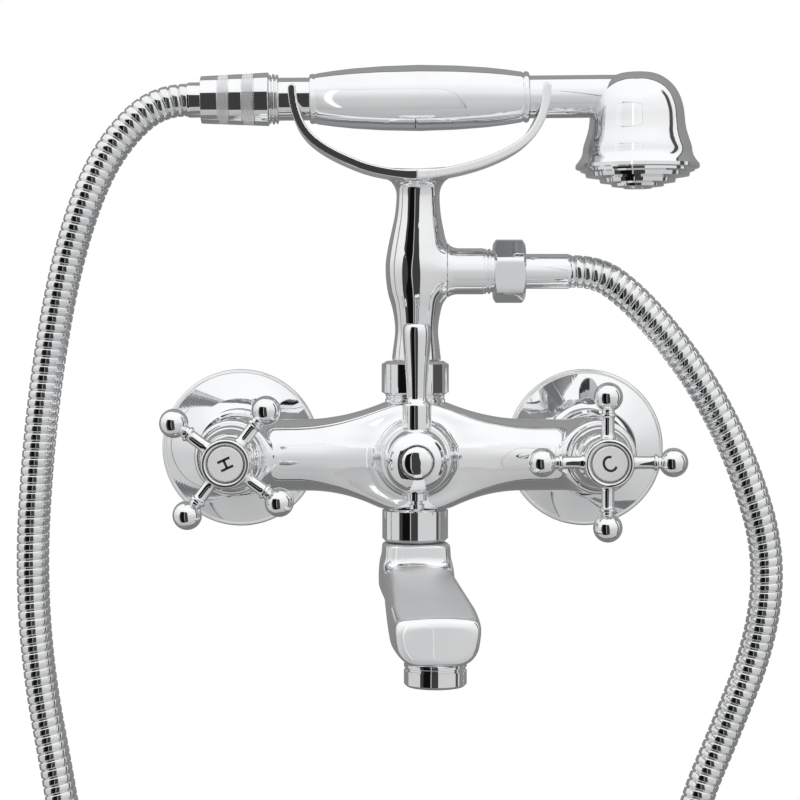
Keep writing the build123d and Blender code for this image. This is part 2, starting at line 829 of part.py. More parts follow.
def make_spout():
    """Cast spout: a swivelling tail, and an arm that falls forward and widens to a blunt tip."""
    side_view = spout_plane()
    top_view = Plane(origin=side_view.origin, x_dir=side_view.x_dir, z_dir=(0, 0, 1))
    front_view = Plane(
        origin=side_view.origin + side_view.x_dir * (spout_reach + 10.0),
        x_dir=side_view.z_dir * -1,
        z_dir=side_view.x_dir,
    )
    top = swivel_bottom - 0.6
    tip_top = spout_underside + 18.2
    half = spout_width / 2
    with BuildPart() as spout:
        with BuildSketch(side_view) as profile:
            with BuildLine():
                FilletPolyline(
                    (-13.6, top),
                    (13.6, top),
                    (15.5, -44.8),
                    (spout_reach, tip_top),
                    (spout_reach, spout_underside),
                    (aerator_position - 13.5, spout_underside),
                    (22.0, -64.5),
                    (-13.6, -56.0),
                    close=True,
                    radius=[0.8, 0.8, 4.0, 3.5, 5.0, 3.0, 40.0, 12.0],
                )
            make_face()
        extrude(profile.sketch, amount=half + 4.0, both=True)
        with BuildSketch(top_view) as plan:
            with BuildLine():
                FilletPolyline(
                    (-13.8, -13.6),
                    (8.0, -14.2),
                    (spout_reach - 22.0, -half),
                    (spout_reach, -half + 0.8),
                    (spout_reach, half - 0.8),
                    (spout_reach - 22.0, half),
                    (8.0, 14.2),
                    (-13.8, 13.6),
                    close=True,
                    radius=[12.0, 20.0, 30.0, 4.0, 4.0, 30.0, 20.0, 12.0],
                )
            make_face()
        extrude(plan.sketch, amount=-90.0, mode=Mode.INTERSECT)
        with BuildSketch(front_view) as front:
            with BuildLine():
                Polyline(
                    (-half - 4.0, top + 1.0),
                    (half + 4.0, top + 1.0),
                    (half + 0.6, tip_top - 1.0),
                    (half - 3.4, spout_underside),
                    (-half + 3.4, spout_underside),
                    (-half - 0.6, tip_top - 1.0),
                    close=True,
                )
            make_face()
        extrude(front.sketch, amount=-130.0, mode=Mode.INTERSECT)
        turn_solid(
            upright(),
            (top - 4.0, 9.0),
            (-33.0, 9.0),
            (-33.0, 7.2),
            (-30.6, 7.2),
            (-30.6, 8.5 - running_gap),
            (-14.0, 8.5 - running_gap),
        )
        for groove in (-26.6, -20.0):
            turn_ring(upright(), groove, groove + 2.2, 6.5, 9.0, mode=Mode.SUBTRACT)
        turn_solid(upright(), (-52.0, 5.0), (-14.0, 5.0), mode=Mode.SUBTRACT)
        with BuildSketch(side_view) as channel:
            with BuildLine():
                Polyline(
                    (-5.0, -50.0),
                    (aerator_position + 6.0, -62.5),
                    (aerator_position + 6.0, -69.0),
                    (20.0, -59.5),
                    (-5.0, -55.0),
                    close=True,
                )
            make_face()
        extrude(channel.sketch, amount=5.0, both=True, mode=Mode.SUBTRACT)
        turn_solid(
            aerator_axis(),
            (spout_underside, 10.6),
            (spout_underside + 8.0, 10.6),
            mode=Mode.SUBTRACT,
        )
    save(spout, "spout")


def aerator_axis():
    """Vertical axis of the aerator near the spout's tip."""
    angle = radians(spout_turn)
    return upright(
        aerator_position * sin(angle), body_distance + aerator_position * cos(angle)
    )


def make_spout_clip():
    """Open clip in the spout's tail that rests on the collar's lip."""
    with BuildPart() as clip:
        turn_ring(upright(), -32.6, -30.8, 7.2 + fit_gap, 10.6)
        with BuildSketch(level(-33.0, 0, body_distance - 9.0)):
            Rectangle(6.0, 8.0)
        extrude(amount=3.0, mode=Mode.SUBTRACT)
    save(clip, "spout_clip")


def make_spout_seals():
    """Two O-rings in the grooves of the spout's tail."""
    with BuildPart() as seals:
        for groove in (-26.6, -20.0):
            with BuildSketch(upright()) as section:
                with Locations((groove + 1.1, 7.46)):
                    Circle(0.95)
            revolve(section.sketch, axis=Axis(upright().origin, upright().x_dir))
    save(seals, "spout_seals")


def make_aerator():
    """Aerator: a threaded housing, its core with straight water channels, and its washer."""
    axis = aerator_axis()
    with BuildPart() as housing:
        turn(
            axis,
            (aerator_bottom, 8.6),
            (aerator_bottom, aerator_radius - 1.0),
            (aerator_bottom + 1.0, aerator_radius),
            (spout_underside - 2.4, aerator_radius),
            (spout_underside - 2.0, aerator_radius - 0.5),
            (spout_underside - 1.4, aerator_radius - 0.5),
            (spout_underside - 1.0, aerator_radius),
            (spout_underside, aerator_radius),
            (spout_underside, 10.6 - fit_gap),
            (spout_underside + 6.0, 10.6 - fit_gap),
            (spout_underside + 6.0, 9.2),
            (aerator_bottom + 1.2, 9.2),
            (aerator_bottom + 1.2, 8.6),
        )
    save(housing, "aerator_housing")
    with BuildPart() as core:
        turn_solid(axis, (aerator_bottom + 1.2, 9.2), (aerator_bottom + 10.0, 9.2))
        face = Plane(origin=axis.origin + axis.x_dir * (aerator_bottom + 1.2), z_dir=(0, 0, 1))
        with BuildSketch(face) as channels:
            with PolarLocations(6.4, 12):
                Circle(1.0)
            with PolarLocations(3.2, 6):
                Circle(0.9)
        extrude(channels.sketch, amount=8.8, mode=Mode.SUBTRACT)
    save(core, "aerator_core")
    with BuildPart() as washer:
        turn_ring(axis, spout_underside + 6.0, spout_underside + 7.8, 7.4, 10.5)
    save(washer, "aerator_washer")


# ---------------------------------------------------------------- hose and its fittings

nut_start = outlet_reach + 1.2
nut_end = nut_start + 13.0
ferrule_end = nut_end + 19.6
handset_ferrule_end = -94.0
handset_nut_start = -88.0
handset_nut_end = -60.2
handset_thread_end = -67.3


def make_outlet_fittings():
    """Hexagonal hose nut, crimped ferrule and washer at the shower outlet."""
    outlet = sideways(outlet_height)
    thread_end = outlet_reach + 9.5
    with BuildPart() as nut:
        hexagon(outlet, nut_start, nut_end - nut_start, hose_nut_flats, turned=10.5)
        with BuildSketch(outlet) as rounding:
            with BuildLine():
                Polyline(
                    (nut_start, 12.3),
                    (nut_start + 1.2, 13.8),
                    (nut_end - 2.0, 13.8),
                    (nut_end, 11.6),
                    (nut_end, 0),
                    (nut_start, 0),
                    close=True,
                )
            make_face()
        revolve(rounding.sketch, axis=Axis(outlet.origin, outlet.x_dir), mode=Mode.INTERSECT)
        turn_solid(
            outlet,
            (nut_start, hose_thread_radius + fit_gap),
            (nut_end - 2.6, hose_thread_radius + fit_gap),
            mode=Mode.SUBTRACT,
        )
        turn_solid(outlet, (nut_start, 6.3), (nut_end, 6.3), mode=Mode.SUBTRACT)
    save(nut, "outlet_hose_nut")
    with BuildPart() as washer:
        turn_ring(outlet, thread_end, thread_end + 1.2, riser_bore, 9.8)
    save(washer, "outlet_washer")
    with BuildPart() as ferrule:
        turn(
            outlet,
            (thread_end + 1.2, 4.2),
            (thread_end + 1.2, 8.6),
            (nut_end - 2.6, 8.6),
            (nut_end - 2.6, 6.2),
            (nut_end, 6.2),
            (nut_end, ferrule_radius - 0.4),
            (nut_end + 0.4, ferrule_radius),
            (ferrule_end - 0.6, ferrule_radius),
            (ferrule_end, ferrule_radius - 0.6),
            (ferrule_end, 4.2),
        )
    save(ferrule, "outlet_ferrule")


def make_handset_fittings():
    """Conical hand nut, crimped ferrule and washer at the hand shower."""
    handset = sideways(handset_height, tilt=handset_tilt)
    washer_end = handset_thread_end - 1.4
    with BuildPart() as nut:
        turn(
            handset,
            (handset_nut_start, 6.4),
            (handset_nut_start, 9.0),
            (handset_nut_start + 0.8, 9.7),
            (handset_nut_end - 0.8, 11.4),
            (handset_nut_end, 11.0),
            (handset_nut_end, hose_thread_radius + fit_gap),
            (-71.0, hose_thread_radius + fit_gap),
            (-71.0, 6.4),
        )
    save(nut, "handset_nut")
    with BuildPart() as washer:
        turn_ring(handset, washer_end, handset_thread_end, 4.6, 9.6)
    save(washer, "handset_washer")
    with BuildPart() as ferrule:
        turn(
            handset,
            (handset_ferrule_end, 4.2),
            (handset_ferrule_end, ferrule_radius - 0.6),
            (handset_ferrule_end + 0.6, ferrule_radius),
            (handset_nut_start, ferrule_radius),
            (handset_nut_start, 6.2),
            (-71.0, 6.2),
            (-71.0, 8.6),
            (washer_end, 8.6),
            (washer_end, 4.2),
        )
    save(ferrule, "handset_ferrule")


# The hose's route, as points that its runs join, above or below the body's axis. It leaves the
# outlet to the right, hangs in one deep loop and comes up on the left to the hand shower.
hose_route = [
    (88, -50, 67),
    (104, -50, 50),
    (122, -50, 25),
    (137.5, -50, -7),
    (147.5, -50, -42),
    (144, -51, -77),
    (130, -52, -113),
    (114, -54, -150),
    (104, -60, -202),
    (104, -74, -268),
    (110, -88, -338),
    (98, -96, -404),
    (48, -94, -456),
    (-28, -88, -476),
    (-104, -82, -452),
    (-150, -76, -390),
    (-156, -68, -312),
    (-143, -60, -244),
    (-139.5, -54, -187),
    (-148, -51, -136),
    (-156.5, -50, -90),
    (-159, -50, -45),
    (-156, -50, 1),
    (-151, -50, 41),
    (-144, -50, 78),
    (-134, -50, 110),
    (-122, -50, 131),
]


def hose_points():
    """The whole route: straight out of each ferrule, with the chosen points between."""
    slope = tan(radians(handset_tilt))
    end_height = handset_height + handset_ferrule_end * slope
    start = [
        (ferrule_end, -body_distance, outlet_height),
        (ferrule_end + 10.2, -body_distance, outlet_height),
    ]
    finish = [
        (handset_ferrule_end - 11.5, -body_distance, end_height - 11.5 * slope),
        (handset_ferrule_end, -body_distance, end_height),
    ]
    return [Vector(x, y, z + axis_height) for x, y, z in start + hose_route + finish]


def bend_radii(points):
    """The largest arc at each corner: 0.45 of its shorter run, over the tangent of half the turn."""
    radii = []
    for before, here, after in zip(points, points[1:], points[2:]):
        arriving = here - before
        leaving = after - here
        half_turn = radians(arriving.get_angle(leaving)) / 2
        radii.append(0.45 * min(arriving.length, leaving.length) / tan(half_turn))
    return radii


def make_hose():
    """Flexible metal hose, as a plain tube of its outer diameter."""
    points = hose_points()
    radii = bend_radii(points)
    with BuildPart() as hose:
        with BuildLine() as route:
            FilletPolyline(*points, radius=radii)
        start = Plane(origin=route.wire() @ 0, z_dir=route.wire() % 0)
        with BuildSketch(start) as section:
            Circle(hose_diameter / 2)
        sweep(section.sketch, path=route.wire())
    length = route.wire().length
    expected = pi * (hose_diameter / 2) ** 2 * length
    print("hose radii:", [round(r) for r in radii])
    print(f"hose length {length:.1f}, volume over section x length {hose.part.volume / expected:.4f}")
    save(hose, "hose")


# ---------------------------------------------------------------- hand shower


def make_handset_tube():
    """Tube of the hand shower, from its threaded end through the grip and into the head."""
    handset = sideways(handset_height, tilt=handset_tilt)
    collar = handset_nut_end + 0.5
    tube_end = head_position - head_neck
    with BuildPart() as tube:
        turn_solid(
            handset,
            (handset_thread_end, 10.2),
            (handset_nut_end, 10.2),
            (collar, 9.4),
            (collar, 10.15),
            (collar + 1.5, 10.15),
            (collar + 1.5, 9.4),
            (collar + 2.0, 9.4),
            (collar + 2.0, 10.15),
            (collar + 3.4, 10.15),
            (collar + 3.4, handset_radius),
            (tube_end, handset_radius),
        )
        turn_solid(handset, (handset_thread_end, 5.0), (tube_end, 5.0), mode=Mode.SUBTRACT)
    save(tube, "handset_tube")


def make_handset_grip():
    """Barrel-shaped metal grip over the tube, with a plain lip at each end."""
    handset = sideways(handset_height, tilt=handset_tilt)
    lip = 2.2
    middle = (grip_start + grip_end) / 2
    bore = handset_radius + fit_gap
    with BuildPart() as grip:
        turn_smooth(
            handset,
            [
                (grip_start + lip, 10.2),
                (middle - 26.0, 12.2),
                (middle, grip_radius),
                (middle + 26.0, 12.2),
                (grip_end - lip, 10.2),
            ],
            inner=bore,
        )
        turn_ring(handset, grip_start, grip_start + lip, bore, 10.0)
        turn_ring(handset, grip_end - lip, grip_end, bore, 10.0)
    save(grip, "handset_grip")


def head_plane():
    """Turning plane of the shower head: its x points up, square to the tube."""
    tube = sideways(handset_height, tilt=handset_tilt)
    origin = tube.origin + tube.x_dir * head_position
    return Plane(origin=origin, x_dir=tube.y_dir, z_dir=(0, 1, 0))


def make_handset_head():
    """Bell-shaped head shell with a short socket that takes the tube."""
    head = head_plane()
    tube = sideways(handset_height, tilt=handset_tilt)
    rim = -30.0
    tube_end = head_position - head_neck
    with BuildPart() as shell:
        with BuildSketch(head) as section:
            with BuildLine():
                Spline(
                    (9.8, 0),
                    (8.6, 9.0),
                    (3.6, 15.4),
                    (-6.0, 19.2),
                    (-14.0, 20.2),
                    (-21.5, 22.4),
                    (-28.2, head_rim_radius),
                    tangents=((0, 1), (-0.75, 0.66)),
                )
                Polyline(
                    (-28.2, head_rim_radius),
                    (rim + 0.4, head_rim_radius),
                    (rim, head_rim_radius - 0.4),
                    (rim, 0),
                    (9.8, 0),
                )
            make_face()
        revolve(section.sketch, axis=Axis(head.origin, head.x_dir))
        turn_solid(tube, (tube_end, handset_radius), (head_position, handset_radius))
        with BuildSketch(head) as hollow:
            with BuildLine():
                Spline(
                    (7.2, 0),
                    (6.2, 8.0),
                    (1.8, 13.2),
                    (-6.0, 16.6),
                    (-14.0, 17.8),
                    (-21.5, 20.0),
                    (-27.0, 22.2),
                )
                Polyline((-27.0, 22.2), (-27.0, 23.6), (rim, 23.6), (rim, 0), (7.2, 0))
            make_face()
        revolve(hollow.sketch, axis=Axis(head.origin, head.x_dir), mode=Mode.SUBTRACT)
        turn_solid(tube, (tube_end, 5.0), (head_position - 6.0, 5.0), mode=Mode.SUBTRACT)
        turn_solid(
            tube,
            (tube_end - 8.0, handset_radius + fit_gap),
            (tube_end, handset_radius + fit_gap),
            mode=Mode.SUBTRACT,
        )
    save(shell, "handset_head")


def make_spray_face():
    """Stepped, slightly domed spray plate that closes the head."""
    head = head_plane()
    with BuildPart() as plate:
        turn_solid(
            head,
            (-28.0, 23.5),
            (-31.0, 23.5),
            (-31.6, 21.6),
            (-33.2, 21.2),
            (-34.0, 15.8),
            (-35.6, 15.4),
            (-36.2, 11.0),
            (-37.2, 10.6),
            (-37.7, 6.0),
            (-38.1, 5.6),
        )
        turn_solid(
            head, (-28.0, 20.5), (-30.5, 19.0), (-33.0, 9.0), (-34.5, 4.0), mode=Mode.SUBTRACT
        )
    save(plate, "spray_face")
    with BuildPart() as ring:
        turn_ring(head, -28.0, -27.0, 22.3, 23.5)
    save(ring, "spray_seal")


# ---------------------------------------------------------------- build everything

os.makedirs("parts", exist_ok=True)

for side, x, turned in (
    ("hot", -half_spacing, hot_handle_turn),
    ("cold", half_spacing, cold_handle_turn),
):
    make_union(side, x)
    make_rosette(side, x)
    make_union_nut(side, x)
    make_inlet_seal(side, x)
    make_seat_seal(side, x)
    make_fixed_disc(side, x)
    make_turning_disc(side, x)
    make_headwork(side, x)
    make_spindle(side, x)
    make_bonnet(side, x)
    make_cross_handle(side, x, turned)
    make_handle_screw(side, x)
    make_index(side, x)

make_mixer_body()
make_diverter_cartridge()
make_diverter_seal()
make_diverter_fixed_disc()
make_diverter_turning_disc()
make_diverter_spindle()
make_diverter_dome()
make_diverter_lever()
make_diverter_stud()
make_diverter_button()
make_riser_nut()
make_riser_seal()
make_riser_column()
make_cradle()
make_cradle_screw()
make_swivel_collar()
make_spout()
make_spout_clip()
make_spout_seals()
make_aerator()
make_outlet_fittings()
make_handset_fittings()
make_hose()
make_handset_tube()
make_handset_grip()
make_handset_head()
make_spray_face()
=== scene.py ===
"""Visual model of a wall mounted bath faucet with a hand shower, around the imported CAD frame.

Blender units are metres. Helpers take millimetres and heights above the body's axis.
"""

import json
import math

import bpy
import numpy as np
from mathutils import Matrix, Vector


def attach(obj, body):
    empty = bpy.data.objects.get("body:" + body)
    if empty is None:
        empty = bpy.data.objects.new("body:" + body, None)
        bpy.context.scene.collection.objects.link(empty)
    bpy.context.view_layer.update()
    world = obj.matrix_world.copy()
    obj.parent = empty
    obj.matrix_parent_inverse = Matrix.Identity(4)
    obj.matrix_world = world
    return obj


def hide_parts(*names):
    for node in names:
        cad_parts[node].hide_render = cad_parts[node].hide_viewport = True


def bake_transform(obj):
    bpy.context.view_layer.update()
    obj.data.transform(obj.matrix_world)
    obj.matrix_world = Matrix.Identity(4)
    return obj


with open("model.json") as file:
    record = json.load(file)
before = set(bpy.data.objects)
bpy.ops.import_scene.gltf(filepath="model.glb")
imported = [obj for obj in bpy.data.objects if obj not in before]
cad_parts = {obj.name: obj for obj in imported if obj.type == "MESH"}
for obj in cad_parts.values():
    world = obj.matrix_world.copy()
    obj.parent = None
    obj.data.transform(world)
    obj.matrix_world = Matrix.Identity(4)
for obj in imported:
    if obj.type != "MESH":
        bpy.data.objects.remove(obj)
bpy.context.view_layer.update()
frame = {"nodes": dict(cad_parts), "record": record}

MM = 0.001
AXIS_HEIGHT = 7.5  # of the body's axis above the supply pipes
BODY = 50.0  # from the wall to the body's axis
SUPPLY = 75.0  # from the middle to each supply pipe
OUTLET_HEIGHT = 75.9  # of the hose outlet above the body's axis
HANDSET_HEIGHT = 147.1  # of the hand shower's axis, at the middle
HANDSET_TILT = 0.6  # degrees, up to the right
LEVER_DISTANCE = 83.0  # from the wall to the diverter lever's axis
INDEX_FRONT = 104.9  # from the wall to the front of the index discs
CROWN = 0.25  # usual rounding of a turned edge


# ---------------------------------------------------------------- camera and world

camera_data = bpy.data.cameras.new("camera")
camera_data.lens = 99.7
camera_data.sensor_width = 36.0
camera_data.clip_start = 0.05
camera_data.clip_end = 20.0
camera = bpy.data.objects.new("camera", camera_data)
camera.location = (-0.0182, -0.966, 0.0684)
camera.rotation_euler = (math.radians(90 - 2.386), 0, math.radians(-0.745))
bpy.context.scene.collection.objects.link(camera)
bpy.context.scene.camera = camera
bpy.context.scene.view_settings.view_transform = "Standard"


class Net:
    """Short calls that add shader nodes to one node tree."""

    def __init__(self, tree):
        self.nodes = tree.nodes
        self.links = tree.links

    def add(self, kind, **settings):
        node = self.nodes.new(kind)
        for name, value in settings.items():
            setattr(node, name, value)
        return node

    def feed(self, socket, value):
        if isinstance(value, (int, float, tuple)):
            socket.default_value = value
        else:
            self.links.new(value, socket)

    def math(self, operation, *values):
        node = self.add("ShaderNodeMath", operation=operation)
        for socket, value in zip(node.inputs, values):
            self.feed(socket, value)
        return node.outputs[0]

    def ramp(self, value, low, high, to_low=0.0, to_high=1.0):
        """Smooth change from to_low at low to to_high at high."""
        node = self.add("ShaderNodeMapRange", interpolation_type="SMOOTHSTEP")
        for socket, number in zip(node.inputs, (value, low, high, to_low, to_high)):
            self.feed(socket, number)
        return node.outputs[0]

    def band(self, value, low, high, soft):
        """1 between low and high, 0 outside, changing over soft on each side."""
        rise = self.ramp(value, low - soft, low + soft)
        fall = self.ramp(value, high - soft, high + soft, 1.0, 0.0)
        return self.math("MULTIPLY", rise, fall)

    def mix(self, share, a, b):
        """Number between a, at share 0, and b, at share 1."""
        node = self.add("ShaderNodeMix", data_type="FLOAT")
        for name, value in (("Factor_Float", share), ("A_Float", a), ("B_Float", b)):
            socket = next(s for s in node.inputs if s.identifier == name)
            self.feed(socket, value)
        return node.outputs[0]


# The dark panel seen from the faucet: its middle, then its width and height
PANEL_SIDE = math.radians(-25)
PANEL_HEIGHT = math.radians(-11.5)
PANEL_SPAN = (math.radians(67), math.radians(82))


def panel_turn():
    """Turn of the dark panel: its own z points from the faucet to the panel's middle."""
    toward = Vector((math.sin(PANEL_SIDE), -math.cos(PANEL_SIDE), 0)) * math.cos(PANEL_HEIGHT)
    toward.z = math.sin(PANEL_HEIGHT)
    return toward.to_track_quat("Z", "Y")


def make_world():
    """White studio: pale all round, a dark panel left of the viewer and a strip far right."""
    world = bpy.data.worlds.new("studio")
    bpy.context.scene.world = world
    world.use_nodes = True
    world.node_tree.nodes.clear()
    net = Net(world.node_tree)
    direction = net.add("ShaderNodeTexCoord").outputs["Generated"]
    parts = net.add("ShaderNodeSeparateXYZ")
    net.feed(parts.inputs[0], direction)
    right, away, up = parts.outputs
    toward = net.math("MULTIPLY", away, -1.0)
    side = net.math("DEGREES", net.math("ARCTAN2", right, toward))
    height = net.math("DEGREES", net.math("ARCSINE", up))
    value = net.ramp(height, -80.0, -8.0, 0.5, 0.66)
    value = net.mix(net.ramp(height, -12.0, 22.0), value, 0.95)
    value = net.mix(net.ramp(height, 20.0, 50.0), value, 1.08)
    left = net.math("MAXIMUM", net.math("MULTIPLY", right, -1.0), 0.0)
    lean = net.math("MULTIPLY", net.math("ABSOLUTE", right), -0.17)
    lean = net.math("ADD", lean, net.math("MULTIPLY", left, -0.4))
    lean = net.math("ADD", lean, net.math("MULTIPLY", up, -0.19))
    lean = net.math("ADD", away, lean)
    behind = net.ramp(height, -60.0, 60.0, 0.2, 0.34)
    value = net.mix(net.ramp(lean, 0.0, 0.012), value, 0.06)
    value = net.mix(net.ramp(lean, 0.04, 0.07), value, behind)
    turn = panel_turn()
    along = []
    for column in turn.to_matrix().col:
        dot = net.add("ShaderNodeVectorMath", operation="DOT_PRODUCT")
        net.links.new(direction, dot.inputs[0])
        dot.inputs[1].default_value = column
        along.append(dot.outputs["Value"])
    ahead = net.math("MAXIMUM", along[2], 0.001)
    wide, high = (math.tan(angle / 2) for angle in PANEL_SPAN)
    across = net.band(net.math("DIVIDE", along[0], ahead), -wide, wide, 0.003)
    over = net.band(net.math("DIVIDE", along[1], ahead), -high, high, 0.003)
    value = net.mix(net.math("MULTIPLY", across, over), value, 0.05)
    core = net.math(
        "MULTIPLY", net.band(side, -46.0, -20.0, 1.0), net.band(height, -52.0, 29.0, 2.0)
    )
    value = net.mix(core, value, 0.005)
    line = net.math(
        "MULTIPLY", net.band(side, -18.0, -16.0, 0.5), net.band(height, -40.0, 28.0, 2.0)
    )
    value = net.mix(line, value, 0.7)
    strip = net.math(
        "MULTIPLY", net.band(side, 78.0, 90.0, 2.0), net.band(height, -34.0, 44.0, 4.0)
    )
    value = net.mix(strip, value, 0.08)
    path = net.add("ShaderNodeLightPath")
    shown = net.mix(path.outputs["Is Camera Ray"], value, 1.0)
    background = net.add("ShaderNodeBackground")
    background.inputs["Color"].default_value = (1, 1, 1, 1)
    net.feed(background.inputs["Strength"], shown)
    output = net.add("ShaderNodeOutputWorld")
    net.links.new(background.outputs[0], output.inputs[0])


def make_floor():
    """Pale floor below the hose; it isn't mirrored in the chrome."""
    mesh = bpy.data.meshes.new("floor")
    half = 0.75
    corners = [(-half, -half, 0), (half, -half, 0), (half, half, 0), (-half, half, 0)]
    mesh.from_pydata(corners, [], [(0, 1, 2, 3)])
    floor = bpy.data.objects.new("floor", mesh)
    floor.location = (0, 0, -0.56)
    bpy.context.scene.collection.objects.link(floor)
    material = bpy.data.materials.new("floor")
    material.use_nodes = True
    net = Net(material.node_tree)
    shader = material.node_tree.nodes["Principled BSDF"]
    shader.inputs["Roughness"].default_value = 0.8
    noise = net.add("ShaderNodeTexNoise")
    noise.inputs["Scale"].default_value = 3.0
    tint = net.add("ShaderNodeValToRGB")
    tint.color_ramp.elements[0].color = (0.7, 0.7, 0.7, 1)
    tint.color_ramp.elements[1].color = (0.76, 0.76, 0.76, 1)
    net.feed(tint.inputs[0], noise.outputs[0])
    net.links.new(tint.outputs[0], shader.inputs["Base Color"])
    mesh.materials.append(material)
    floor.visible_glossy = False


def make_fill():
    """Soft light in front of the dark panel, for the broad plain pieces only."""
    distance = 12.0
    data = bpy.data.lights.new("fill", "AREA")
    data.shape = "RECTANGLE"
    data.size, data.size_y = (2 * distance * math.tan(angle / 2) for angle in PANEL_SPAN)
    data.energy = math.pi * data.size * data.size_y
    data.use_nodes = True
    net = Net(data.node_tree)
    parts = net.add("ShaderNodeSeparateXYZ")
    net.feed(parts.inputs[0], net.add("ShaderNodeNewGeometry").outputs["Parametric"])
    strength = net.ramp(parts.outputs[1], 0.0, 0.5, 0.47, 0.6)
    strength = net.mix(net.ramp(parts.outputs[1], 0.47, 0.92), strength, 0.93)
    net.feed(data.node_tree.nodes["Emission"].inputs["Strength"], strength)
    light = bpy.data.objects.new("fill", data)
    light.rotation_mode = "QUATERNION"
    light.rotation_quaternion = panel_turn()
    light.location = Vector((0, -BODY * MM, 0.06)) + panel_turn().to_matrix().col[2] * distance
    bpy.context.scene.collection.objects.link(light)
    light.light_linking.receiver_collection = bpy.data.collections.new("filled")
    return light.light_linking.receiver_collection


make_world()
make_floor()
filled = make_fill()


# ---------------------------------------------------------------- materials


def metal(name, dark, light, rough, wave=0.0, grain=420.0):
    """Metal whose tint, roughness and surface change slightly from place to place."""
    material = bpy.data.materials.new(name)
    material.use_nodes = True
    net = Net(material.node_tree)
    shader = material.node_tree.nodes["Principled BSDF"]
    shader.inputs["Metallic"].default_value = 1.0
    place = net.add("ShaderNodeTexCoord").outputs["Object"]
    cloud = net.add("ShaderNodeTexNoise")
    cloud.inputs["Scale"].default_value = 38.0
    cloud.inputs["Detail"].default_value = 5.0
    net.links.new(place, cloud.inputs["Vector"])
    tint = net.add("ShaderNodeValToRGB")
    tint.color_ramp.elements[0].position = 0.35
    tint.color_ramp.elements[1].position = 0.65
    tint.color_ramp.elements[0].color = (*dark, 1)
    tint.color_ramp.elements[1].color = (*light, 1)
    net.links.new(cloud.outputs[0], tint.inputs[0])
    net.links.new(tint.outputs[0], shader.inputs["Base Color"])
    fine = net.add("ShaderNodeTexNoise")
    fine.inputs["Scale"].default_value = grain
    fine.inputs["Detail"].default_value = 3.0
    net.links.new(place, fine.inputs["Vector"])
    net.links.new(net.ramp(fine.outputs[0], 0.3, 0.7, *rough), shader.inputs["Roughness"])
    if wave:
        soft = net.add("ShaderNodeTexNoise")
        soft.inputs["Scale"].default_value = 26.0
        net.links.new(place, soft.inputs["Vector"])
        bump = net.add("ShaderNodeBump")
        bump.inputs["Strength"].default_value = wave
        bump.inputs["Distance"].default_value = 0.001
        net.links.new(soft.outputs[0], bump.inputs["Height"])
        net.links.new(bump.outputs[0], shader.inputs["Normal"])
    return material


def moulded(name, dark, light, rough):
    """Plastic, rubber or ceramic with a faint change of tint and gloss."""
    material = metal(name, dark, light, rough)
    material.node_tree.nodes["Principled BSDF"].inputs["Metallic"].default_value = 0.0
    return material


MATERIALS = {
    "chrome": metal("chrome", (0.86, 0.87, 0.88), (0.91, 0.915, 0.925), (0.015, 0.045)),
    "hose_metal": metal("hose_metal", (0.78, 0.79, 0.8), (0.88, 0.885, 0.89), (0.05, 0.14)),
    "index": metal("index", (0.74, 0.74, 0.745), (0.83, 0.83, 0.835), (0.3, 0.42), grain=900.0),
    "brass": metal("brass", (0.66, 0.5, 0.22), (0.8, 0.62, 0.3), (0.16, 0.32)),
    "steel": metal("steel", (0.5, 0.51, 0.53), (0.64, 0.65, 0.67), (0.2, 0.4)),
    "ceramic": moulded("ceramic", (0.86, 0.86, 0.83), (0.93, 0.93, 0.91), (0.08, 0.2)),
    "rubber": moulded("rubber", (0.015, 0.015, 0.015), (0.04, 0.04, 0.04), (0.55, 0.8)),
    "plastic": moulded("plastic", (0.62, 0.63, 0.65), (0.74, 0.75, 0.77), (0.3, 0.5)),
}


def softened(name):
    """Chrome that is duller where it faces up, as on the broad top of the spout."""
    material = MATERIALS["chrome"].copy()
    material.name = name
    net = Net(material.node_tree)
    shader = material.node_tree.nodes["Principled BSDF"]
    parts = net.add("ShaderNodeSeparateXYZ")
    net.feed(parts.inputs[0], net.add("ShaderNodeNewGeometry").outputs["Normal"])
    fine = shader.inputs["Roughness"].links[0].from_socket
    dull = net.math("MULTIPLY", net.ramp(parts.outputs[2], 0.8, 0.97), 0.5)
    net.feed(shader.inputs["Roughness"], net.math("ADD", fine, dull))
    return material


for part in frame["record"]["subparts"]:
    data = frame["nodes"][part["node"]].data
    data.materials.clear()
    data.materials.append(MATERIALS[part["material_slot"]])


# ---------------------------------------------------------------- shape helpers


class Axis:
    """A turning axis: its origin, its own direction, and a direction square to it."""

    def __init__(self, origin, along, across=(0, 0, 1)):
        self.origin = Vector(origin)
        self.along = Vector(along).normalized()
        across = Vector(across)
        self.across = (across - self.along * across.dot(self.along)).normalized()
        self.third = self.along.cross(self.across)

    def point(self, along, radius=0.0, angle=0.0):
        """Point in metres; angle in radians from the square direction."""
        out = self.across * math.cos(angle) + self.third * math.sin(angle)
        return (self.origin + self.along * along + out * radius) * MM


def forward(x, height=0.0):
    """Axis that leaves the wall at x."""
    return Axis((x, 0, AXIS_HEIGHT + height), (0, -1, 0))


def upright(x=0.0, distance=BODY):
    """Vertical axis; its own zero is at the body's axis."""
    return Axis((x, -distance, AXIS_HEIGHT), (0, 0, 1), (0, -1, 0))


def sideways(height=0.0, distance=BODY, tilt=0.0):
    """Axis from left to right."""
    slope = math.radians(tilt)
    return Axis((0, -distance, AXIS_HEIGHT + height), (math.cos(slope), 0, math.sin(slope)))


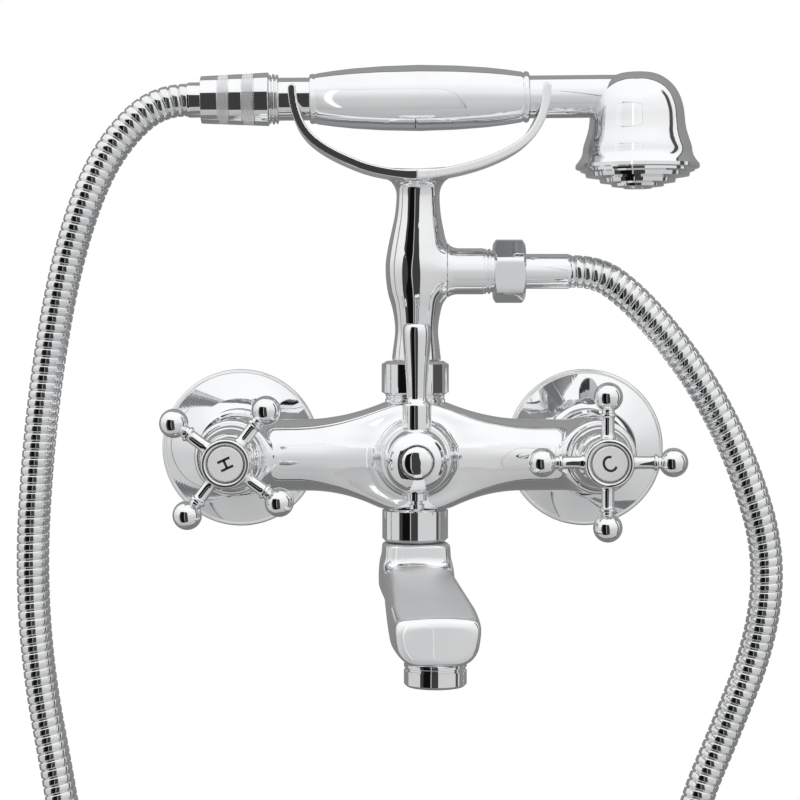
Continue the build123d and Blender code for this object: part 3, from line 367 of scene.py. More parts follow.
def rounded(corners):
    """Turns corners (along, radius, rounding) into a smooth line of (along, radius)."""
    points = [Vector(corners[0][:2])]
    for before, here, after in zip(corners, corners[1:], corners[2:]):
        middle = Vector(here[:2])
        back = Vector(before[:2]) - middle
        ahead = Vector(after[:2]) - middle
        trim = here[2] if len(here) > 2 else CROWN
        start = middle + back.normalized() * min(trim, back.length * 0.499)
        end = middle + ahead.normalized() * min(trim, ahead.length * 0.499)
        turn = math.pi - back.angle(ahead)
        steps = max(2, min(14, math.ceil(turn / math.radians(7))))
        for step in range(steps + 1):
            t = step / steps
            points.append(start * (1 - t) ** 2 + middle * 2 * t * (1 - t) + end * t**2)
    points.append(Vector(corners[-1][:2]))
    kept = [points[0]]
    for point in points[1:]:
        if (point - kept[-1]).length > 0.004:
            kept.append(point)
    return kept


def make_piece(name, vertices, faces, slot, body, stands_for=()):
    """A smooth-shaded mesh of that slot's material on that body."""
    mesh = bpy.data.meshes.new(name)
    mesh.from_pydata(vertices, [], faces)
    mesh.validate()
    mesh.polygons.foreach_set("use_smooth", [True] * len(mesh.polygons))
    mesh.set_sharp_from_angle(angle=math.radians(40))
    mesh.materials.append(MATERIALS[slot])
    piece = bpy.data.objects.new(name, mesh)
    bpy.context.scene.collection.objects.link(piece)
    if body:
        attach(piece, body)
    if stands_for:
        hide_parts(*stands_for)
    return piece


def skin(rows, closed=False):
    """Faces between neighbouring rows of vertex numbers. A row of one number is a pole."""
    pairs = list(zip(rows, rows[1:]))
    if closed:
        pairs.append((rows[-1], rows[0]))
    faces = []
    for low, high in pairs:
        around = max(len(low), len(high))
        if around == 1:
            continue
        for i in range(around):
            j = (i + 1) % around
            if len(low) == 1:
                faces.append((low[0], high[j], high[i]))
            elif len(high) == 1:
                faces.append((low[i], low[j], high[0]))
            else:
                faces.append((low[i], low[j], high[j], high[i]))
    return faces


def circle(axis, along, radius, around):
    """Evenly spaced points round an axis."""
    return [axis.point(along, radius, 2 * math.pi * i / around) for i in range(around)]


def turned_line(axis, line, around, ring=False):
    """Vertices and faces of a solid turned through exactly these (along, radius) points."""
    vertices, rows = [], []
    for along, radius in line:
        points = [axis.point(along)] if radius < 0.001 else circle(axis, along, radius, around)
        rows.append(list(range(len(vertices), len(vertices) + len(points))))
        vertices += points
    return vertices, skin(rows, ring)


def turned(axis, corners, around=96, ring=False):
    """The same with rounded corners, from axis to axis, or as a closed line for a ring."""
    if not ring:
        return turned_line(axis, rounded(corners), around)
    first = tuple((Vector(corners[0][:2]) + Vector(corners[1][:2])) / 2)
    line = rounded([first, *corners[1:], corners[0], first])
    return turned_line(axis, line[:-1], around, ring=True)


def joined(*meshes):
    """Several (vertices, faces) as one."""
    vertices, faces = [], []
    for more_vertices, more_faces in meshes:
        start = len(vertices)
        vertices += more_vertices
        faces += [tuple(i + start for i in face) for face in more_faces]
    return vertices, faces


# ---------------------------------------------------------------- hose

HOSE_PITCH = 3.5

# The route's points of part.py, in metres, in the row frame
HOSE_ROUTE = [
    (0.0648, -0.05, 0.0834),
    (0.075, -0.05, 0.0834),
    (0.088, -0.05, 0.0745),
    (0.104, -0.05, 0.0575),
    (0.122, -0.05, 0.0325),
    (0.1375, -0.05, 0.0005),
    (0.1475, -0.05, -0.0345),
    (0.144, -0.051, -0.0695),
    (0.13, -0.052, -0.1055),
    (0.114, -0.054, -0.1425),
    (0.104, -0.06, -0.1945),
    (0.104, -0.074, -0.2605),
    (0.11, -0.088, -0.3305),
    (0.098, -0.096, -0.3965),
    (0.048, -0.094, -0.4485),
    (-0.028, -0.088, -0.4685),
    (-0.104, -0.082, -0.4445),
    (-0.15, -0.076, -0.3825),
    (-0.156, -0.068, -0.3045),
    (-0.143, -0.06, -0.2365),
    (-0.1395, -0.054, -0.1795),
    (-0.148, -0.051, -0.1285),
    (-0.1565, -0.05, -0.0825),
    (-0.159, -0.05, -0.0375),
    (-0.156, -0.05, 0.0085),
    (-0.151, -0.05, 0.0485),
    (-0.144, -0.05, 0.0855),
    (-0.134, -0.05, 0.1175),
    (-0.122, -0.05, 0.1385),
    (-0.1055, -0.05, 0.153496),
    (-0.094, -0.05, 0.153616),
]


def smooth_line(points):
    """Points along the NURBS spline of these control points."""
    curve = bpy.data.curves.new("route", "CURVE")
    curve.dimensions = "3D"
    spline = curve.splines.new("NURBS")
    spline.points.add(len(points) - 1)
    for slot, point in zip(spline.points, points):
        slot.co = (*point, 1)
    spline.order_u = 3
    spline.use_endpoint_u = True
    spline.resolution_u = 24
    holder = bpy.data.objects.new("route", curve)
    bpy.context.scene.collection.objects.link(holder)
    bpy.context.view_layer.update()
    mesh = bpy.data.meshes.new_from_object(holder)
    line = [v.co.copy() for v in mesh.vertices]
    bpy.data.objects.remove(holder)
    bpy.data.meshes.remove(mesh)
    return line


class Path:
    """A line with even distances along it and frames that don't twist."""

    def __init__(self, points):
        self.points = points
        self.distance = [0.0]
        for a, b in zip(points, points[1:]):
            self.distance.append(self.distance[-1] + (b - a).length)
        self.length = self.distance[-1]
        tangents = [points[1] - points[0]]
        tangents += [c - a for a, c in zip(points, points[2:])]
        tangents.append(points[-1] - points[-2])
        self.tangents = [t.normalized() for t in tangents]
        side = self.tangents[0].orthogonal().normalized()
        self.sides = []
        for tangent in self.tangents:
            side = (side - tangent * side.dot(tangent)).normalized()
            self.sides.append(side)

    def at(self, distance):
        """(point, tangent, side, other side) at that distance from the start."""
        low, high = 0, len(self.points) - 1
        while high - low > 1:
            middle = (low + high) // 2
            if self.distance[middle] <= distance:
                low = middle
            else:
                high = middle
        share = (distance - self.distance[low]) / (self.distance[high] - self.distance[low])
        point = self.points[low].lerp(self.points[high], share)
        tangent = self.tangents[low].lerp(self.tangents[high], share).normalized()
        side = self.sides[low].lerp(self.sides[high], share)
        side = (side - tangent * side.dot(tangent)).normalized()
        return point, tangent, side, tangent.cross(side)


def make_hose():
    """Wound metal hose: one rounded band that climbs by its own width each turn."""
    path = Path(smooth_line(HOSE_ROUTE))
    # one turn of the band, as (share of the pitch, radius in mm)
    band = [
        (0.0, 5.85),
        (0.05, 6.3),
        (0.13, 6.6),
        (0.22, 6.7),
        (0.74, 6.7),
        (0.84, 6.6),
        (0.91, 6.3),
        (0.97, 5.85),
    ]
    around = 26
    turns = round(path.length / (HOSE_PITCH * MM)) + 1
    pitch = path.length / (turns - 1)
    vertices, faces = [], []
    steps = turns * len(band)
    for step in range(steps + 1):
        turn, place = divmod(step, len(band))
        share, radius = band[place]
        for i in range(around):
            point, tangent, side, other = path.at((turn + share + i / around - 1.0) * pitch)
            angle = 2 * math.pi * i / around
            out = side * math.cos(angle) + other * math.sin(angle)
            vertices.append(point + out * radius * MM)
    for step in range(steps):
        for i in range(around):
            here = step * around + i
            if i < around - 1:
                right = here + 1
            else:
                # the next turn of the band starts where this one ends
                if step + len(band) >= steps:
                    continue
                right = (step + len(band)) * around
            faces.append((here, right, right + around, here + around))
    # each end's slanted opening is closed by a fan
    first = list(range(around)) + [k * around for k in range(len(band), 0, -1)]
    last = [(steps - k) * around + around - 1 for k in range(len(band), 0, -1)]
    last += [steps * around + i for i in range(around - 1, -1, -1)]
    for loop, distance in ((first, -0.5 * pitch), (last, path.length + 0.5 * pitch)):
        centre = len(vertices)
        vertices.append(path.at(distance)[0])
        faces += [(centre, b, a) for a, b in zip(loop, loop[1:] + loop[:1])]
    hose = make_piece("hose_tube", vertices, faces, "hose_metal", None, ["hose"])
    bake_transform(hose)


make_hose()


# ---------------------------------------------------------------- cast pieces


def union(a, b, soft):
    """Smallest of two fields, with a fillet about soft/4 deep."""
    share = np.clip(0.5 + 0.5 * (b - a) / soft, 0, 1)
    return b * (1 - share) + a * share - soft * share * (1 - share)


def common(a, b, soft):
    """Largest of two fields, with a rounded edge."""
    return -union(-a, -b, soft)


def cast(name, field, low, high, step, slot, body, stands_for=()):
    """The surface where field(x, y, z) is zero, in mm, as one smooth mesh.

    Heights are above the body's axis, and y is the distance from the wall.
    """
    lines = [np.arange(a, b + step, step) for a, b in zip(low, high)]
    grid = np.meshgrid(*lines, indexing="ij")
    values = field(*grid)
    inside = values < 0
    cells = tuple(n - 1 for n in values.shape)
    total = np.zeros((*cells, 3))
    count = np.zeros(cells)
    crossings = []
    for axis in range(3):
        near = [slice(None)] * 3
        far = [slice(None)] * 3
        near[axis] = slice(None, -1)
        far[axis] = slice(1, None)
        near, far = tuple(near), tuple(far)
        cut = np.argwhere(inside[near] != inside[far])
        ahead = cut.copy()
        ahead[:, axis] += 1
        a = values[tuple(cut.T)]
        b = values[tuple(ahead.T)]
        place = cut.astype(float)
        place[:, axis] += a / (a - b)
        u, v = (axis + 1) % 3, (axis + 2) % 3
        around = []
        for du, dv in ((-1, -1), (0, -1), (0, 0), (-1, 0)):
            cell = cut.copy()
            cell[:, u] += du
            cell[:, v] += dv
            np.add.at(total, tuple(cell.T), place)
            np.add.at(count, tuple(cell.T), 1)
            around.append(cell)
        crossings.append((around, inside[tuple(cut.T)]))
    used = count > 0
    number = np.full(cells, -1)
    number[used] = np.arange(used.sum())
    points = total[used] / count[used][:, None] * step + np.array(low)

    def slope(p):
        small = 0.02
        parts = []
        for axis in range(3):
            shift = np.zeros(3)
            shift[axis] = small
            parts.append((field(*(p + shift).T) - field(*(p - shift).T)) / (2 * small))
        return np.array(parts).T

    for _ in range(4):
        gradient = slope(points)
        move = field(*points.T) / np.maximum((gradient**2).sum(axis=1), 1e-6)
        move = np.clip(move, -step, step)
        points = points - gradient * move[:, None]
    normals = slope(points)
    normals /= np.linalg.norm(normals, axis=1)[:, None]
    faces = []
    for around, starts_inside in crossings:
        quads = np.array([number[tuple(cell.T)] for cell in around]).T
        quads[~starts_inside] = quads[~starts_inside][:, ::-1]
        faces += quads.tolist()
    points[:, 1] *= -1
    normals[:, 1] *= -1
    faces = [face[::-1] for face in faces]
    points[:, 2] += AXIS_HEIGHT
    piece = make_piece(name, (points * MM).tolist(), faces, slot, body, stands_for)
    piece.data.normals_split_custom_set_from_vertices(normals.tolist())
    return piece


def body_field(x, y, z):
    """Bar that swells towards its middle, with two valve ends, a front port and two mounds."""
    y = y - BODY
    across = np.sqrt(y**2 + z**2)
    swell = np.exp(-((np.abs(x) / 24.0) ** 2))
    bar = across - (14.75 + 0.9 * swell)
    ends = np.sqrt((np.abs(x) - SUPPLY) ** 2 + z**2) - 15.4
    ends = common(ends, np.abs(y + 1.5) - 17.5, 2.4)
    bar = common(bar, np.abs(x) - SUPPLY, 0.1)
    solid = union(bar, ends, 5.0)
    out = np.sqrt(x**2 + y**2)
    top = common((z - 21.9 + 0.44 * (out - 12.7)) * 0.9, z - 22.3, 0.8)
    low = common((-z - 22.6 + 0.52 * (out - 13.4)) * 0.88, -z - 21.9, 0.6)
    waist = np.sqrt((x / 38.0) ** 2 + (y / 13.6) ** 2) * 13.6 - 13.6
    mound = common(common(top, waist, 4.0), -z, 0.1)
    hollow = common(common(low, waist, 4.0), z, 0.1)
    solid = union(solid, mound, 7.0)
    solid = union(solid, hollow, 7.0)
    port = np.sqrt(x**2 + z**2) - 14.7
    port = common(port, np.abs(y - 11.0) - 11.0, 1.6)
    solid = union(solid, port, 6.0)
    return common(solid, common(z - 22.4, -z - 21.9, 0.01), 0.6)


def make_body():
    cast(
        "body_casting",
        body_field,
        (-92.0, 28.0, -24.0),
        (92.0, 74.0, 24.0),
        0.8,
        "chrome",
        "faucet",
        ["mixer_body"],
    )


def station(value, *stations):
    """Smooth curve through (place, size) pairs."""
    places = [s[0] for s in stations]
    sizes = [s[1] for s in stations]
    slopes = np.gradient(sizes, places)
    index = np.clip(np.searchsorted(places, value) - 1, 0, len(places) - 2)
    p, s, m = np.array(places), np.array(sizes), np.array(slopes)
    width = p[index + 1] - p[index]
    t = np.clip((value - p[index]) / width, 0, 1)
    return (
        (2 * t**3 - 3 * t**2 + 1) * s[index]
        + (t**3 - 2 * t**2 + t) * width * m[index]
        + (-2 * t**3 + 3 * t**2) * s[index + 1]
        + (t**3 - t**2) * width * m[index + 1]
    )


# The strap's line, as (sideways, height), from the left fork's tip to the right one's
STRAP = [
    (-50.4, 150.0),
    (-50.2, 146.0),
    (-49.0, 140.5),
    (-46.6, 134.6),
    (-42.6, 129.6),
    (-36.5, 125.2),
    (-28.5, 121.2),
    (-18.3, 117.2),
    (-5.0, 115.0),
    (5.0, 115.2),
    (16.0, 116.8),
    (26.5, 119.6),
    (35.5, 123.2),
    (42.6, 127.2),
    (47.8, 132.0),
    (51.7, 139.2),
    (53.2, 146.0),
    (53.4, 150.6),
]


def strap_line():
    """Evenly spaced points along the strap's line, for the distance to it."""
    points = smooth_line([(x, 0, z) for x, z in STRAP])
    path = Path(points)
    return np.array([path.at(path.length * i / 220)[0] for i in range(221)])[:, (0, 2)]


def cradle_field():
    """Field of the riser, its side branch and the strap with its two forks."""
    line = strap_line()

    def field(x, y, z):
        y = y - BODY
        flat_x, flat_z = (x[:, :1, :], z[:, :1, :]) if np.ndim(x) == 3 else (x, z)
        near = np.full(np.shape(flat_x), 1e9)
        for a, b in zip(line, line[1:]):
            run = b - a
            t = np.clip(((flat_x - a[0]) * run[0] + (flat_z - a[1]) * run[1]) / (run @ run), 0, 1)
            away = np.hypot(flat_x - a[0] - t * run[0], flat_z - a[1] - t * run[1])
            near = np.minimum(near, away)
        thick, wide = near - 1.05, np.abs(y) - 12.3
        strap = np.hypot(np.maximum(thick, 0), np.maximum(wide, 0)) - 0.7
        strap = strap + np.minimum(np.maximum(thick, wide), 0)
        slot = np.hypot(y, z - HANDSET_HEIGHT - 0.0105 * x) - 9.15
        open_top = common(np.abs(y) - 9.15, HANDSET_HEIGHT - z, 0.01)
        slot = np.minimum(slot, open_top)
        strap = common(strap, -slot, 1.2)
        lean = 0.5 + 0.7 * np.clip((z - 43.0) / 67.0, 0, 1)
        out = np.hypot(x - lean, y)
        size = station(
            z,
            (39.2, 10.2),
            (43.4, 9.7),
            (52.3, 8.9),
            (60.0, 10.0),
            (67.0, 12.0),
            (73.0, 12.9),
            (78.5, 13.1),
            (85.0, 12.3),
            (92.0, 10.9),
            (99.0, 9.5),
            (106.0, 8.9),
            (113.5, 9.1),
        )
        column = common((out - size) * 0.96, z - 114.0, 0.5)
        column = common(column, 39.1 - z, 0.8)
        branch = np.hypot(y, z - OUTLET_HEIGHT) - 9.5
        branch = common(branch, common(x - 28.4, -x, 0.1), 0.5)
        column = union(column, branch, 5.0)
        return union(column, strap, 7.0)

    return field


def make_riser():
    """The same field cut into four pieces: riser, branch and the strap's two halves."""
    field = cradle_field()
    seam, edge, middle = 112.8, 13.0, 0.5

    def lower(x, y, z):
        return np.maximum(field(x, y, z), np.maximum(z - seam, x - edge))

    def upper_left(x, y, z):
        return np.maximum(field(x, y, z), np.maximum(seam - z, x - middle))

    def upper_right(x, y, z):
        return np.maximum(field(x, y, z), np.maximum(seam - z, middle - x))

    def beside(x, y, z):
        return np.maximum(field(x, y, z), np.maximum(z - seam, edge - x))

    cast(
        "branch_casting",
        beside,
        (11.0, 38.0, 60.0),
        (30.0, 62.0, 92.0),
        0.6,
        "chrome",
        "faucet",
    )
    cast(
        "riser_casting",
        lower,
        (-15.0, 34.0, 37.0),
        (15.0, 66.0, 115.0),
        0.7,
        "chrome",
        "faucet",
        ["riser_column"],
    )
    cast(
        "cradle_left",
        upper_left,
        (-56.0, 35.0, 110.0),
        (3.0, 65.0, 154.0),
        0.45,
        "chrome",
        "faucet",
        ["cradle", "cradle_screw"],
    )
    cast(
        "cradle_right",
        upper_right,
        (-2.0, 35.0, 110.0),
        (58.0, 65.0, 154.0),
        0.45,
        "chrome",
        "faucet",
    )


SPOUT_TURN = math.radians(4.6)


def spout_field(x, y, z):
    """Arm that widens and drops towards its rounded tip, turned slightly to the right."""
    y = y - BODY
    ahead = y * math.cos(SPOUT_TURN) + x * math.sin(SPOUT_TURN)
    side = x * math.cos(SPOUT_TURN) - y * math.sin(SPOUT_TURN)
    size = 13.6 + 0.9 * np.clip((-36.0 - z) / 14.0, 0, 1)
    tail = np.hypot(np.minimum(ahead, 0), side) - size
    tail = np.maximum(tail, np.abs(side) - size)
    tail = common(tail, ahead - 14.6, 7.0)
    tail = common(tail, z + 36.3, 1.0)
    half = 14.2 + 3.5 * np.clip((ahead - 4.0) / 62.0, 0, 1) ** 1.1
    half = half - 0.9 * np.clip((ahead - 72.0) / 18.0, 0, 1) ** 2
    drop = np.clip((-57.0 - z) / 17.0, 0, 1.2)
    sides = np.abs(side) - half + 3.6 * drop**2
    roof = (z + 42.6 + 0.145 * ahead + side**2 / 160.0) * 0.98
    floor = np.maximum(-z - 74.5, (-z - 58.4 - 0.245 * ahead) * 0.97)
    tip = ahead - 89.9 + side**2 / 260.0
    arm = common(sides, roof, 5.0)
    arm = common(arm, floor, 7.0)
    arm = common(arm, tip, 4.0)
    arm = common(arm, np.hypot(np.minimum(ahead, 0), side) - half, 2.0)
    return union(common(tail, -z - 56.0, 4.0), arm, 4.0)


def make_spout():
    cast(
        "spout_casting",
        spout_field,
        (-24.0, 33.0, -76.0),
        (27.0, 142.0, -35.0),
        0.8,
        "chrome",
        "spout_arm",
        ["spout"],
    )
    bpy.data.objects["spout_casting"].data.materials[0] = softened("spout_chrome")
    tail = [(-36.2, 6.0), (-36.2, 9.0), (-33.4, 9.0), (-33.4, 6.0)]
    make_piece("spout_tail", *turned(upright(), tail, ring=True), "chrome", "spout_arm")


make_body()
make_riser()
make_spout()


# ---------------------------------------------------------------- turned pieces


def knurled(axis, start, end, radius_start, radius_end, depth=0.2):
    """Band of small diamonds on a slightly conical sleeve, closed on its inside."""
    around, rows, teeth = 400, 32, 50
    vertices = []
    for row in range(rows + 1):
        share = row / rows
        along = start + (end - start) * share
        radius = radius_start + (radius_end - radius_start) * share
        edge = min(1.0, 8 * share, 8 * (1 - share))
        for i in range(around):
            turn = i / around
            climb = share * (end - start) / (2 * math.pi * radius) * teeth
            one = abs((turn * teeth + climb) % 1.0 * 2 - 1)
            two = abs((turn * teeth - climb) % 1.0 * 2 - 1)
            height = depth * edge * (min(1.0, 3.0 * min(one, two)) - 1.0)
            vertices.append(axis.point(along, radius + height, 2 * math.pi * turn))
    vertices += circle(axis, end, 8.8, around)
    vertices += circle(axis, start, 8.8, around)
    circles = [range(first, first + around) for first in range(0, len(vertices), around)]
    return vertices, skin(circles, closed=True)


NUT_EDGES = [-88.0, -80.9, -76.5, -71.0, -66.1, -60.2]  # smooth and knurled bands take turns
NUT_RADIUS = 9.65  # at the nut's left end
NUT_SLOPE = 1.3 / 27.8  # growth of its radius to the right


def nut_radius(along):
    return NUT_RADIUS + NUT_SLOPE * (along - NUT_EDGES[0])


def make_hand_nut(axis):
    """Conical nut with two knurled bands, which lie a little below its surface."""
    smooth = []
    for start, end in zip(NUT_EDGES[::2], NUT_EDGES[1::2]):
        low, high = nut_radius(start), nut_radius(end)
        line = [(start, 7.3), (start, low, 0.35), (end, high, 0.35), (end, 7.3)]
        smooth.append(turned(axis, line, around=128, ring=True))
    make_piece("hand_nut", *joined(*smooth), "chrome", "hand_shower", ["handset_nut"])
    bands = []
    for start, end in zip(NUT_EDGES[1::2], NUT_EDGES[2::2]):
        low, high = nut_radius(start) - 0.03, nut_radius(end) - 0.03
        bands.append(knurled(axis, start, end, low, high))
    knurl = make_piece("hand_knurl", *joined(*bands), "chrome", "hand_shower")
    knurl.data.polygons.foreach_set("use_smooth", [False] * len(knurl.data.polygons))


def make_hand_shower():
    """Ferrule, nut, the two ends of the tube and the grip; the head is the CAD piece."""
    axis = sideways(HANDSET_HEIGHT, tilt=HANDSET_TILT)
    make_hand_nut(axis)
    socket = [
        (-94.0, 3.0),
        (-94.0, 6.2, 0.2),
        (-93.5, 7.05, 0.3),
        (-92.6, 7.2, 0.2),
        (-87.9, 7.2, 0.1),
        (-87.9, 3.0),
    ]
    make_piece(
        "hand_ferrule",
        *turned(axis, socket, ring=True),
        "chrome",
        "hand_shower",
        ["handset_ferrule"],
    )
    left = [
        (-60.0, 0.0),
        (-60.0, 10.0, 0.1),
        (-59.4, 10.0, 0.1),
        (-59.2, 9.1, 0.1),
        (-58.9, 9.1, 0.1),
        (-58.7, 10.3, 0.3),
        (-57.9, 10.3, 0.3),
        (-57.6, 9.3, 0.1),
        (-57.3, 9.3, 0.1),
        (-57.1, 10.1, 0.3),
        (-56.4, 10.1, 0.3),
        (-56.1, 8.75, 0.2),
        (-43.0, 8.75, 0.1),
        (-43.0, 0.0),
    ]
    make_piece("tube_left", *turned(axis, left), "chrome", "hand_shower", ["handset_tube"])
    right = [(45.0, 0.0), (45.0, 8.75, 0.1), (76.6, 8.75, 0.1), (76.6, 0.0)]
    make_piece("tube_right", *turned(axis, right), "chrome", "hand_shower")
    grip = [
        (-43.5, 0.0),
        (-43.5, 9.6, 0.6),
        (-42.9, 10.2, 0.9),
        (-41.7, 10.25, 0.6),
        (-41.2, 10.0, 0.4),
        (-40.3, 10.4, 0.9),
        (-27.0, 12.35, 12.0),
        (1.7, 13.9, 30.0),
        (30.4, 12.35, 12.0),
        (43.8, 10.35, 0.9),
        (44.5, 9.8, 0.4),
        (45.0, 10.55, 0.6),
        (46.2, 10.5, 0.8),
        (46.9, 9.7, 0.5),
        (46.9, 0.0),
    ]
    make_piece(
        "grip_barrel",
        *turned(axis, grip, around=160),
        "chrome",
        "hand_shower",
        ["handset_grip"],
    )


def make_outlet_end():
    """Grooved end of the branch, hexagonal hose nut and crimped ferrule."""
    axis = sideways(OUTLET_HEIGHT)
    end = [
        (20.0, 0.0),
        (20.0, 9.3, 0.1),
        (29.2, 9.3, 0.1),
        (29.4, 8.7, 0.1),
        (29.9, 8.7, 0.1),
        (30.1, 9.3, 0.2),
        (31.0, 9.3, 0.4),
        (31.0, 8.6, 0.1),
        (33.0, 8.6, 0.1),
        (33.0, 0.0),
    ]
    make_piece("branch_end", *turned(axis, end), "chrome", "faucet")
    make_piece(
        "hose_nut",
        *hexagonal(axis, 32.2, 45.2, 23.6, 13.0, -20.0),
        "chrome",
        "faucet",
        ["outlet_hose_nut"],
    )
    ferrule = [
        (44.0, 0.0),
        (44.0, 7.2, 0.1),
        (62.6, 7.2, 0.2),
        (63.6, 7.05, 0.3),
        (64.8, 6.2, 0.2),
        (64.8, 0.0),
    ]
    make_piece(
        "outlet_sleeve", *turned(axis, ferrule), "chrome", "faucet", ["outlet_ferrule"]
    )


def hexagonal(axis, start, end, flats, limit, turn, around=144, edge=0.35, body=99.0):
    """Hexagonal nut whose corners are turned down to limit at both ends, with eased edges."""
    corner = flats / math.sqrt(3)
    cone = 1.6
    profile = [(start, limit - cone), (start + 1.1, limit + 0.1), (start + cone, corner + 1)]
    profile += [(end - cone, corner + 1), (end - 1.1, limit + 0.1), (end, limit - cone)]
    stations = [start, start + 0.02]
    stations += [start + cone * k / 8 for k in range(1, 9)]
    stations += [end - cone * (8 - k) / 8 for k in range(0, 8)]
    stations += [end - 0.02, end]

    def at(along, angle):
        around_flat = (angle - math.radians(turn) + math.pi / 6) % (math.pi / 3) - math.pi / 6
        flat = flats / 2 / math.cos(around_flat)
        soft = corner - edge
        flat = -math.log(math.exp(-flat * 4) + math.exp(-soft * 4)) / 4
        reach = np.interp(along, [p[0] for p in profile], [p[1] for p in profile])
        return min(flat, reach, body)

    rows = [[0]]
    vertices = [axis.point(start)]
    for along in stations:
        rows.append(list(range(len(vertices), len(vertices) + around)))
        for i in range(around):
            angle = 2 * math.pi * i / around
            vertices.append(axis.point(along, at(along, angle), angle))
    rows.append([len(vertices)])
    vertices.append(axis.point(end))
    return vertices, skin(rows)


make_hand_shower()
make_outlet_end()


# ---------------------------------------------------------------- handles and diverter


def stroke(centre, right, up, face, points, width, height):
    """Flat raised line through points given as (across, up) in mm on a face."""
    vertices, faces = [], []
    outline = []
    count = len(points)
    for side in (1, -1):
        order = range(count) if side == 1 else range(count - 1, -1, -1)
        for i in order:
            a = Vector(points[max(i - 1, 0)])
            b = Vector(points[min(i + 1, count - 1)])
            run = (b - a).normalized()
            normal = Vector((-run.y, run.x)) * side
            outline.append(Vector(points[i]) + normal * width / 2)
    for lift in (0.0, height):
        for p in outline:
            vertices.append((centre + right * p.x + up * p.y + face * lift) * MM)
    n = len(outline)
    faces.append(tuple(range(n - 1, -1, -1)))
    faces.append(tuple(range(n, 2 * n)))
    faces += [(i, (i + 1) % n, n + (i + 1) % n, n + i) for i in range(n)]
    return vertices, faces


def make_letter(side, x, strokes, turn):
    """The index letter, printed as thin raised black lines on the disc."""
    angle = math.radians(turn)
    right = Vector((math.cos(angle), 0, math.sin(angle)))
    up = Vector((-math.sin(angle), 0, math.cos(angle)))
    front = Vector((0, -1, 0))
    centre = Vector((x, -INDEX_FRONT - 0.02, AXIS_HEIGHT))
    shapes = [stroke(centre, right, up, front, line, 1.0, 0.05) for line in strokes]
    piece = make_piece(f"{side}_letter", *joined(*shapes), "rubber", f"{side}_tap")
    piece.data.polygons.foreach_set("use_smooth", [False] * len(piece.data.polygons))


def arc(radius_x, radius_y, start, end, steps=24):
    """Points on an ellipse between two angles in degrees."""
    angles = [math.radians(start + (end - start) * i / steps) for i in range(steps + 1)]
    return [(radius_x * math.cos(a), radius_y * math.sin(a)) for a in angles]


def make_handle(side, x, turn):
    """Cross handle: hub, four arms with a ball each, and the index disc."""
    axis = forward(x)
    hub = [
        (79.5, 0.0),
        (79.5, 8.6, 0.2),
        (82.0, 9.4, 0.8),
        (84.0, 9.7, 0.8),
        (103.9, 9.9, 0.6),
        (105.0, 9.2, 0.6),
        (104.9, 8.1, 0.3),
        (104.2, 7.45, 0.2),
        (102.6, 7.4, 0.1),
        (102.6, 0.0),
    ]
    shapes = [turned(axis, hub, around=128)]
    for quarter in range(4):
        angle = math.radians(turn + 90 * quarter)
        arm = Axis((x, -97.0, AXIS_HEIGHT), (math.cos(angle), 0, math.sin(angle)), (0, -1, 0))
        rod = [
            (3.0, 0.0),
            (3.0, 3.1, 0.2),
            (9.9, 3.1, 0.3),
            (11.2, 2.55, 0.8),
            (17.2, 2.5, 0.5),
            (18.0, 2.75, 0.2),
            (18.3, 3.3, 0.3),
            (19.3, 3.3, 0.3),
            (19.6, 2.6, 0.2),
            (20.6, 2.5, 0.2),
            (24.0, 2.5, 0.2),
            (24.0, 0.0),
        ]
        shapes.append(turned(arm, rod, around=48))
        ball = [(25.8 - across, up) for across, up in arc(5.8, 5.8, 0, 180, 36)]
        shapes.append(turned_line(arm, ball, 64))
    make_piece(f"{side}_cross", *joined(*shapes), "chrome", f"{side}_tap", [f"{side}_handle"])
    disc = [
        (102.6, 0.0),
        (102.6, 7.15, 0.1),
        (104.5, 7.05, 0.25),
        (INDEX_FRONT, 6.7, 0.3),
        (INDEX_FRONT, 0.0),
    ]
    plate = make_piece(
        f"{side}_plate", *turned(axis, disc, around=96), "index", f"{side}_tap", [f"{side}_index"]
    )
    filled.objects.link(plate)


def make_bonnet(side, x):
    """Stepped sleeve between the body and the handle."""
    line = [
        (66.0, 11.0),
        (66.0, 14.2, 0.1),
        (66.9, 14.2, 0.4),
        (67.1, 13.5, 0.1),
        (69.6, 13.2, 0.8),
        (71.2, 12.5, 0.6),
        (71.5, 11.7, 0.1),
        (72.1, 11.7, 0.1),
        (72.4, 12.1, 0.3),
        (75.6, 11.6, 1.6),
        (77.9, 10.2, 0.7),
        (79.0, 9.2, 0.2),
        (79.0, 8.1, 0.1),
        (72.0, 8.1, 0.1),
        (72.0, 11.0, 0.1),
    ]
    make_piece(
        f"{side}_sleeve",
        *turned(forward(x), line, ring=True),
        "chrome",
        "faucet",
        [f"{side}_bonnet"],
    )


def make_rosette(side, x):
    """Shallow cone against the wall with a rolled rim."""
    line = [
        (0.0, 31.5),
        (0.0, 34.1, 0.2),
        (1.5, 34.2, 0.7),
        (2.3, 33.3, 0.6),
        (2.2, 32.5, 0.3),
        (6.0, 24.9, 7.0),
        (10.5, 18.5, 4.0),
        (13.0, 16.8, 1.6),
        (15.0, 16.4, 0.4),
        (15.0, 13.3, 0.1),
        (9.0, 13.3, 0.1),
        (9.0, 16.9, 0.1),
        (4.6, 23.6, 0.1),
        (1.2, 31.5, 0.1),
    ]
    piece = make_piece(
        f"{side}_cover",
        *turned(forward(x), line, around=160, ring=True),
        "chrome",
        "faucet",
        [f"{side}_rosette"],
    )
    filled.objects.link(piece)


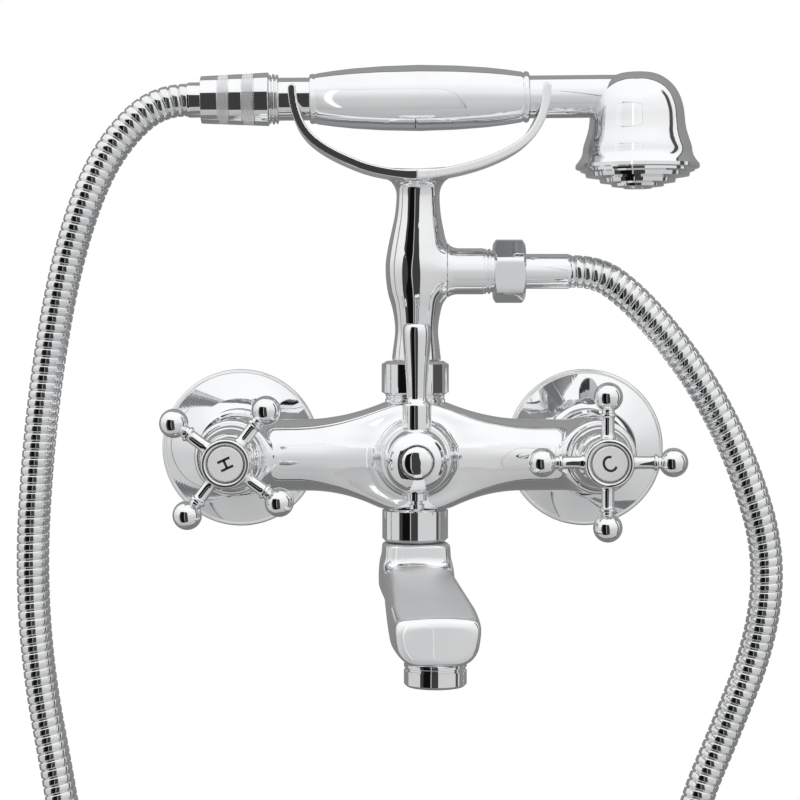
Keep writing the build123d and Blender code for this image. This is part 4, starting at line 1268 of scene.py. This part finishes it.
def make_diverter():
    """Dome, its front button and the lever that stands up from it."""
    axis = forward(0)
    dome = [
        (75.0, 0.0),
        (75.0, 12.4, 0.4),
        (75.9, 13.15, 0.4),
        (87.2, 13.15, 1.5),
        (91.4, 12.2, 2.4),
        (94.0, 9.6, 2.0),
        (95.3, 7.4, 0.6),
        (95.5, 6.9, 0.15),
        (94.4, 6.7, 0.1),
        (94.4, 0.0),
    ]
    make_piece("dome", *turned(axis, dome, around=128), "chrome", "diverter", ["diverter_dome"])
    button = [
        (93.4, 0.0),
        (93.4, 6.3, 0.1),
        (96.2, 6.3, 0.8),
        (97.3, 5.0, 1.2),
        (98.0, 2.0, 1.6),
        (98.0, 0.0),
    ]
    make_piece(
        "button", *turned(axis, button, around=96), "chrome", "diverter", ["diverter_button"]
    )
    lever = [
        (11.5, 0.0),
        (11.5, 5.3, 0.2),
        (12.9, 5.85, 0.5),
        (22.4, 5.85, 0.7),
        (23.4, 4.7, 0.4),
        (24.6, 4.0, 0.8),
        (33.0, 4.3, 5.0),
        (45.0, 5.4, 6.0),
        (52.0, 5.75, 2.0),
        (54.4, 5.0, 0.9),
        (54.8, 3.0, 0.6),
        (54.8, 0.0),
    ]
    make_piece(
        "lever",
        *turned(upright(0, LEVER_DISTANCE), lever, around=96),
        "chrome",
        "diverter",
        ["diverter_lever"],
    )


def make_riser_nut():
    """Nearly round nut under the riser, with narrow flats, and the neck below it."""
    make_piece(
        "column_nut",
        *hexagonal(upright(), 24.8, 38.9, 27.1, 13.4, 42.0, body=13.9),
        "chrome",
        "faucet",
        ["riser_nut"],
    )
    neck = [
        (21.9, 0.0),
        (21.9, 12.35, 0.1),
        (23.3, 12.35, 0.3),
        (23.5, 11.9, 0.1),
        (24.0, 11.9, 0.1),
        (24.2, 12.2, 0.2),
        (24.8, 12.2, 0.2),
        (24.8, 0.0),
    ]
    make_piece("port_neck", *turned(upright(), neck), "chrome", "faucet")


for side, x, turn in (("hot", -SUPPLY, 53.0), ("cold", SUPPLY, 0.0)):
    make_handle(side, x, turn)
    make_bonnet(side, x)
    make_rosette(side, x)

# The three strokes of the H, and the curve of the C
LETTER_H = [[(-1.75, -2.6), (-1.75, 2.6)], [(1.75, -2.6), (1.75, 2.6)], [(-1.75, 0), (1.75, 0)]]
LETTER_C = [arc(2.45, 2.8, 48, 312)]
make_letter("hot", -SUPPLY, LETTER_H, -65.0)
make_letter("cold", SUPPLY, LETTER_C, 28.0)
make_diverter()
make_riser_nut()

# Broad plain pieces that the soft fill also lights
for name in (
    "body_casting",
    "grip_barrel",
    "tube_right",
    "cradle_right",
    "spout_casting",
    "hose_nut",
    "outlet_sleeve",
    "branch_end",
    "branch_casting",
    "handset_head",
):
    filled.objects.link(bpy.data.objects[name])
